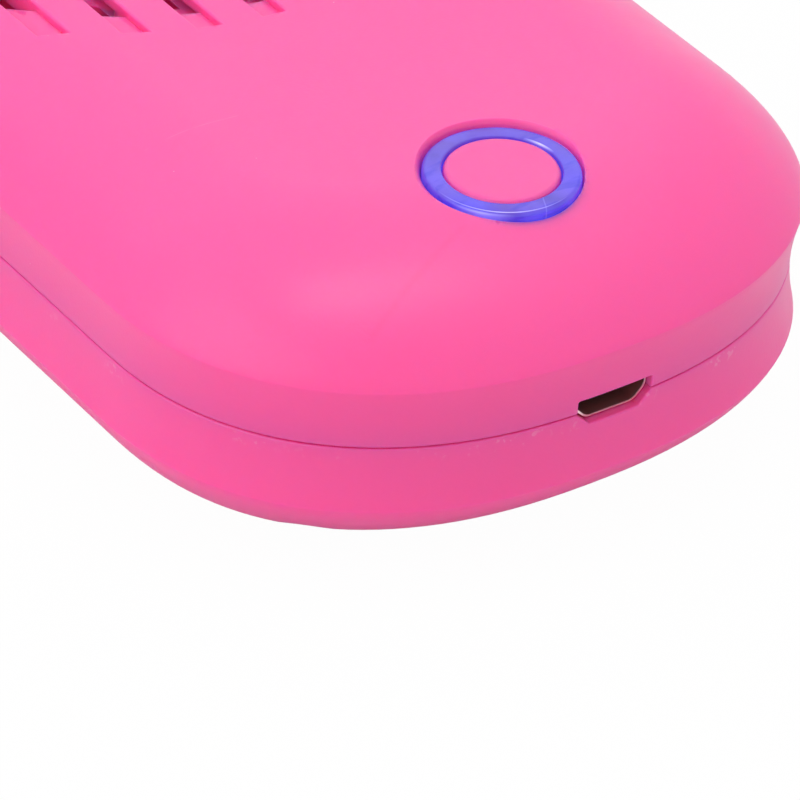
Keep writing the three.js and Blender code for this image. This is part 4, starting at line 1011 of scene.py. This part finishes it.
def pink_plastic(name):
    """Satin moulded pink: fine grain, slight mottling, a little dust and the marks of moulding and use."""
    finish = Finish(
        name, Roughness=sum(PINK_ROUGHNESS) / 2, Specular_IOR_Level=PINK_SPECULAR,
        Subsurface_Weight=1, Subsurface_Radius=PINK_SCATTER, Subsurface_Scale=1)
    colour = finish.blend(finish.noise(60), *PINK)
    flow = 0
    for start, end in zip(FLOW_LINE, FLOW_LINE[1:]):
        flow = finish.maths("MAXIMUM", flow, finish.line(start, end, FLOW_HALF_WIDTH))
    colour = finish.blend(finish.maths("MULTIPLY", flow, FLOW_STRENGTH), colour, FLOW_PINK)
    z = finish.split()[2]
    low, lower, upper, high = (PARTING_Z - depth for depth in SCUFF_BAND)
    areas, dots = finish.noise(160), finish.noise(1500)
    scuffs = finish.product(
        finish.ranged(z, low, lower), finish.ranged(z, upper, high, 1, 0),
        finish.ranged(areas, 0.5, 0.6), finish.ranged(dots, 0.56, 0.62), SCUFF_STRENGTH)
    worn = finish.ranged(finish.noise(500), 0.4, 0.6, 0, SCRATCH_STRENGTH)
    scratch = finish.maths("MULTIPLY", finish.line(*SCRATCH, SCRATCH_HALF_WIDTH), worn)
    dust = finish.ranged(finish.cells(250), 0.014, 0.02, 1, 0)
    pale = finish.maths("MAXIMUM", dust, finish.maths("MAXIMUM", scratch, scuffs))
    colour = finish.blend(finish.maths("MULTIPLY", pale, PALE_STRENGTH), colour, PALE_PINK)
    finish.set("Base Color", colour)
    finish.set("Roughness", finish.ranged(finish.noise(220), 0.3, 0.7, *PINK_ROUGHNESS))
    finish.bump(finish.noise(3200, 1), PINK_GRAIN)
    return finish.material


def on_ring(angle, radius):
    """A point of the plan at an angle in degrees and a distance from the button's axis."""
    turn = math.radians(angle)
    return BUTTON.x + radius * math.cos(turn), BUTTON.y + radius * math.sin(turn)


def ring_clear(name):
    """Clear plastic lit blue-violet from below: darker down its side, with cloudy patches, a weld line and
    painted highlight lines along its edges.
    """
    finish = Finish(name, Roughness=0.16, IOR=1.5, Emission_Strength=RING_GLOW)
    z = finish.split()[2]
    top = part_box("light_ring")[1].z
    x, y, _ = finish.split(finish.moved((BUTTON.x, BUTTON.y, 0)))
    from_axis = finish.maths("SQRT", finish.maths(
        "ADD", finish.maths("MULTIPLY", x, x), finish.maths("MULTIPLY", y, y)))
    side_low, side_high = (top - depth for depth in RING_SIDE)
    lit = finish.blend(finish.ranged(z, side_low, side_high), RING_SIDE_BLUE, RING_TOP_BLUE)
    for angle, radius, size, strength, patch in RING_PATCHES:
        spot = finish.spot((*on_ring(angle, radius), top), size)
        lit = finish.blend(finish.maths("MULTIPLY", spot, strength), lit, patch)
    cloud = finish.ranged(finish.noise(420, 3), 0.35, 0.7)
    lit = finish.blend(finish.maths("MULTIPLY", cloud, 0.4), lit, RING_CLOUD_BLUE)
    streak = finish.ranged(finish.noise(900, 2, finish.moved(scale=(3, 1, 0.4))), 0.55, 0.68)
    lit = finish.blend(finish.maths("MULTIPLY", streak, 0.45), lit, RING_STREAK_BLUE)
    weld = finish.line(*(on_ring(angle, radius) for radius, angle in RING_WELD), WELD_HALF_WIDTH)
    lit = finish.blend(finish.maths("MULTIPLY", weld, 0.3), lit, RING_WELD_BLUE)
    # Painted highlights: thin bright lines along the ring's edges, put into both its colour and its glow
    for angle, radius, half_width, reach, strength in RING_PAINTED_HIGHLIGHTS:
        off_line = finish.maths("ABSOLUTE", finish.maths("SUBTRACT", from_axis, radius))
        painted_highlight = finish.ranged(off_line, 0, half_width, 1, 0)
        painted_highlight = finish.product(painted_highlight, finish.spot((*on_ring(angle, radius), top), reach), strength)
        lit = finish.blend(painted_highlight, lit, RING_HIGHLIGHT_BLUE)
    finish.set("Base Color", lit)
    finish.set("Emission Color", lit)
    finish.set("Roughness", finish.ranged(cloud, 0, 1, 0.12, 0.22))
    finish.bump(finish.noise(700), 0.00003)
    return finish.material


def plastic(name, dark, light, roughness):
    """A plain moulded plastic with slight mottling and a fine grain."""
    finish = Finish(name)
    finish.set("Base Color", finish.blend(finish.noise(300), dark, light))
    finish.set("Roughness", finish.ranged(finish.noise(900), 0.3, 0.7, roughness - 0.05, roughness + 0.05))
    finish.bump(finish.noise(4000, 1), 0.00001)
    return finish.material


def metal(name, dull, bright, roughness):
    """Drawn or turned metal: faint lines round it and stains."""
    finish = Finish(name, metallic=1)
    lines = finish.noise(800, 2, finish.moved(scale=(1, 1, 0.08)))
    finish.set("Base Color", finish.blend(finish.ranged(finish.noise(350), 0.35, 0.65), dull, bright))
    finish.set("Roughness", finish.ranged(lines, 0.3, 0.7, roughness - 0.08, roughness + 0.08))
    finish.bump(lines, 0.000008)
    return finish.material


def port_steel():
    """The port's shell: bright at its rim and, further in, a painted shade of dark reddish steel, mottled by
    noise.
    """
    finish = Finish("port_steel", metallic=1)
    y = finish.split()[1]
    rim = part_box("usb_shell")[0].y
    # Painted shade: beyond its bright rim the steel's colour turns dark and reddish deeper into the port
    bright = finish.ranged(y, rim + SHELL_EDGE, rim + 3 * SHELL_EDGE, 1, 0)
    mottle = finish.noise(400)
    dark = finish.blend(mottle, (0.42, 0.26, 0.25), (0.6, 0.2, 0.2))
    finish.set("Base Color", finish.blend(bright, dark, (0.95, 0.88, 0.87)))
    finish.set("Roughness", finish.ranged(bright, 0, 1, 0.55, 0.35))
    finish.bump(mottle, 0.00001)
    return finish.material


def board_laminate(name):
    """Green solder mask over straight copper tracks."""
    finish = Finish(name)
    tracks = finish.add("ShaderNodeTexBrick", offset=0.35)
    finish.feed(tracks.inputs["Vector"], finish.moved(turn=(0, 0, math.radians(45))))
    tracks.inputs["Scale"].default_value = 260
    tracks.inputs["Mortar Size"].default_value = 0.06
    base = finish.blend(finish.noise(200), (0.01, 0.09, 0.045), (0.014, 0.12, 0.06))
    finish.set("Base Color", finish.blend(tracks.outputs["Fac"], base, (0.03, 0.2, 0.09)))
    finish.set("Roughness", finish.ranged(finish.noise(500), 0.3, 0.7, 0.3, 0.42))
    finish.bump(tracks.outputs["Fac"], 0.00003)
    return finish.material


def led_lens(name):
    """Milky, pale blue resin, mottled by noise."""
    finish = Finish(name, IOR=1.52)
    finish.set("Base Color", finish.blend(finish.noise(900), (0.62, 0.68, 0.95), (0.85, 0.88, 1)))
    finish.set("Roughness", finish.ranged(finish.noise(600), 0.3, 0.7, 0.1, 0.2))
    return finish.material


def wound_copper(name):
    """Enamelled wire laid turn on turn."""
    finish = Finish(name, metallic=1)
    turns = finish.add("ShaderNodeTexWave", bands_direction="Z")
    finish.feed(turns.inputs["Vector"], finish.place)
    turns.inputs["Scale"].default_value = 1100
    finish.set("Base Color", finish.blend(turns.outputs["Fac"], (0.28, 0.07, 0.02), (0.75, 0.3, 0.12)))
    finish.set("Roughness", finish.ranged(finish.noise(900), 0.3, 0.7, 0.28, 0.4))
    finish.bump(turns.outputs["Fac"], 0.00008)
    return finish.material


def pouch_foil(name):
    """Laminated foil with soft creases."""
    finish = Finish(name, metallic=1)
    creases = finish.noise(180, 4, finish.moved(scale=(1, 2.5, 1)))
    finish.set("Base Color", finish.blend(creases, (0.5, 0.5, 0.52), (0.72, 0.72, 0.74)))
    finish.set("Roughness", finish.ranged(creases, 0.3, 0.7, 0.32, 0.48))
    finish.bump(creases, 0.0004)
    return finish.material


def foam_tape(name):
    """Closed-cell foam."""
    finish = Finish(name)
    cells = finish.cells(1600)
    finish.set("Base Color", finish.blend(cells, (0.008, 0.008, 0.009), (0.03, 0.03, 0.033)))
    finish.set("Roughness", finish.ranged(cells, 0, 1, 0.85, 0.98))
    finish.bump(cells, 0.0002)
    return finish.material


def speckled(name, dark, light, roughness):
    """Pressed and fired powder, speckled by its grains."""
    finish = Finish(name)
    grains = finish.cells(5000)
    finish.set("Base Color", finish.blend(grains, dark, light))
    finish.set("Roughness", finish.ranged(grains, 0, 1, roughness - 0.1, roughness + 0.1))
    finish.bump(grains, 0.00004)
    return finish.material


FINISHES = {name: make(name, *values) for name, make, *values in (
    ("pink_plastic", pink_plastic),
    ("ring_clear", ring_clear),
    ("white_plastic", plastic, (0.76, 0.75, 0.71), (0.84, 0.83, 0.8), 0.4),
    ("black_plastic", plastic, (0.006, 0.006, 0.007), (0.014, 0.013, 0.015), 0.45),
    ("plated_steel", metal, (0.42, 0.42, 0.44), (0.62, 0.63, 0.65), 0.36),
    ("contact_metal", metal, (0.5, 0.3, 0.08), (0.85, 0.6, 0.22), 0.19),
    ("board_laminate", board_laminate),
    ("led_lens", led_lens),
    ("ferrite", speckled, (0.02, 0.02, 0.022), (0.07, 0.07, 0.075), 0.6),
    ("copper_wire", wound_copper),
    ("ceramic", speckled, (0.3, 0.17, 0.08), (0.52, 0.33, 0.18), 0.45),
    ("pouch_foil", pouch_foil),
    ("foam_tape", foam_tape),
    ("red_insulation", plastic, (0.38, 0.008, 0.012), (0.52, 0.013, 0.018), 0.4),
    ("black_insulation", plastic, (0.006, 0.006, 0.007), (0.012, 0.012, 0.013), 0.42),
)}
PORT_STEEL = port_steel()


def stands_for(piece, node, slot, finish=None):
    """Gives a finished piece its material and the body of the frame node that it stands for, and hides that
    node.
    """
    piece.data.materials.clear()
    piece.data.materials.append(finish or FINISHES[slot])
    body = next(name for name, empty in frame["bodies"].items() if frame["nodes"][node].parent == empty)
    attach(piece, body)
    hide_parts(node)


def dress_frame():
    """Gives every node that stays in view its slot's finish."""
    for row in frame["record"]["subparts"]:
        for held in frame["nodes"][row["node"]].material_slots:
            held.material = FINISHES[row["material_slot"]]


# Studio

def place_camera():
    """The photograph's view: the tail from above, its head outside the picture."""
    azimuth, elevation, roll = (math.radians(angle) for angle in CAMERA_TURNS)
    level = math.cos(elevation)
    back = Vector((math.sin(azimuth) * level, -math.cos(azimuth) * level, math.sin(elevation)))
    right = Vector((0, 0, 1)).cross(back).normalized()
    up = back.cross(right)
    tilted_right = right * math.cos(roll) + up * math.sin(roll)
    tilted_up = up * math.cos(roll) - right * math.sin(roll)
    camera = bpy.data.objects.new("camera", bpy.data.cameras.new("camera"))
    camera.data.lens, camera.data.sensor_width = CAMERA_LENS
    camera.data.clip_start, camera.data.clip_end = CAMERA_CLIP
    axes = Matrix((tilted_right, tilted_up, back)).transposed().to_4x4()
    camera.matrix_world = Matrix.Translation(Vector(CAMERA_AIM) + back * CAMERA_DISTANCE) @ axes
    bpy.context.scene.collection.objects.link(camera)
    bpy.context.scene.camera = camera


def softbox(name, direction, distance, size, power):
    """A square lamp that faces the middle of the fan."""
    lamp = bpy.data.lights.new(name, "AREA")
    lamp.shape, lamp.size, lamp.size_y, lamp.energy = "RECTANGLE", *size, power
    holder = bpy.data.objects.new(name, lamp)
    toward = Vector(direction).normalized()
    holder.location = toward * distance
    holder.rotation_euler = toward.to_track_quat("Z", "Y").to_euler()
    bpy.context.scene.collection.objects.link(holder)


def seen_directly(tree):
    """1 for camera, mirror and glass rays, and 0 for the rays that light the fan."""
    path = tree.nodes.new("ShaderNodeLightPath")
    total = path.outputs["Is Camera Ray"]
    for ray in ("Is Glossy Ray", "Is Transmission Ray"):
        larger = tree.nodes.new("ShaderNodeMath")
        larger.operation = "MAXIMUM"
        tree.links.new(total, larger.inputs[0])
        tree.links.new(path.outputs[ray], larger.inputs[1])
        total = larger.outputs[0]
    return total


def white_world():
    """White to the eye and in reflections, and a softer grey as light."""
    world = bpy.data.worlds.new("studio")
    bpy.context.scene.world = world
    world.use_nodes = True
    tree = world.node_tree
    level = tree.nodes.new("ShaderNodeMapRange")
    tree.links.new(seen_directly(tree), level.inputs["Value"])
    level.inputs["To Min"].default_value = WORLD_LIGHT
    background = tree.nodes["Background"]
    background.inputs["Color"].default_value = (1, 1, 1, 1)
    tree.links.new(level.outputs["Result"], background.inputs["Strength"])


def pale_floor():
    """A plain floor, white to the eye, which keeps a faint shadow of the fan."""
    bpy.ops.object.select_all(action="DESELECT")
    bpy.ops.mesh.primitive_plane_add(size=FLOOR_SIZE)
    floor = named(bpy.context.object, "floor")
    surface = bpy.data.materials.new("pale_floor")
    surface.use_nodes = True
    tree = surface.node_tree
    shader = tree.nodes["Principled BSDF"]
    shader.inputs["Base Color"].default_value = (FLOOR_COLOUR, FLOOR_COLOUR, FLOOR_COLOUR, 1)
    shader.inputs["Roughness"].default_value = 1
    shader.inputs["Specular IOR Level"].default_value = 0
    glow = tree.nodes.new("ShaderNodeEmission")
    share = tree.nodes.new("ShaderNodeMath")
    share.operation = "MULTIPLY"
    share.inputs[1].default_value = FLOOR_WHITENESS
    tree.links.new(tree.nodes.new("ShaderNodeLightPath").outputs["Is Camera Ray"], share.inputs[0])
    mix = tree.nodes.new("ShaderNodeMixShader")
    tree.links.new(share.outputs[0], mix.inputs["Fac"])
    tree.links.new(shader.outputs["BSDF"], mix.inputs[1])
    tree.links.new(glow.outputs["Emission"], mix.inputs[2])
    tree.links.new(mix.outputs["Shader"], tree.nodes["Material Output"].inputs["Surface"])
    floor.data.materials.append(surface)


# The fan

dress_frame()
stands_for(top_cover(), "top_cover", "pink_plastic")
stands_for(bottom_cover(), "bottom_cover", "pink_plastic")
stands_for(outlet_grille(), "outlet_grille", "pink_plastic")
stands_for(button_cap(), "button_cap", "pink_plastic")
stands_for(light_ring(), "light_ring", "ring_clear")
stands_for(usb_shell(), "usb_shell", "plated_steel", PORT_STEEL)
stands_for(impeller(), "impeller", "pink_plastic")
for kind, count in (("case_screw", 4), ("board_screw", 2), ("motor_screw", 2)):
    for index, screw in enumerate(pan_screws(kind, count), 1):
        stands_for(screw, f"{kind}_{index}", "plated_steel")

place_camera()
for name, (direction, distance, size, power) in SOFTBOXES.items():
    softbox(name, direction, distance, size, power)
white_world()
pale_floor()
bpy.context.scene.view_settings.view_transform = "Standard"
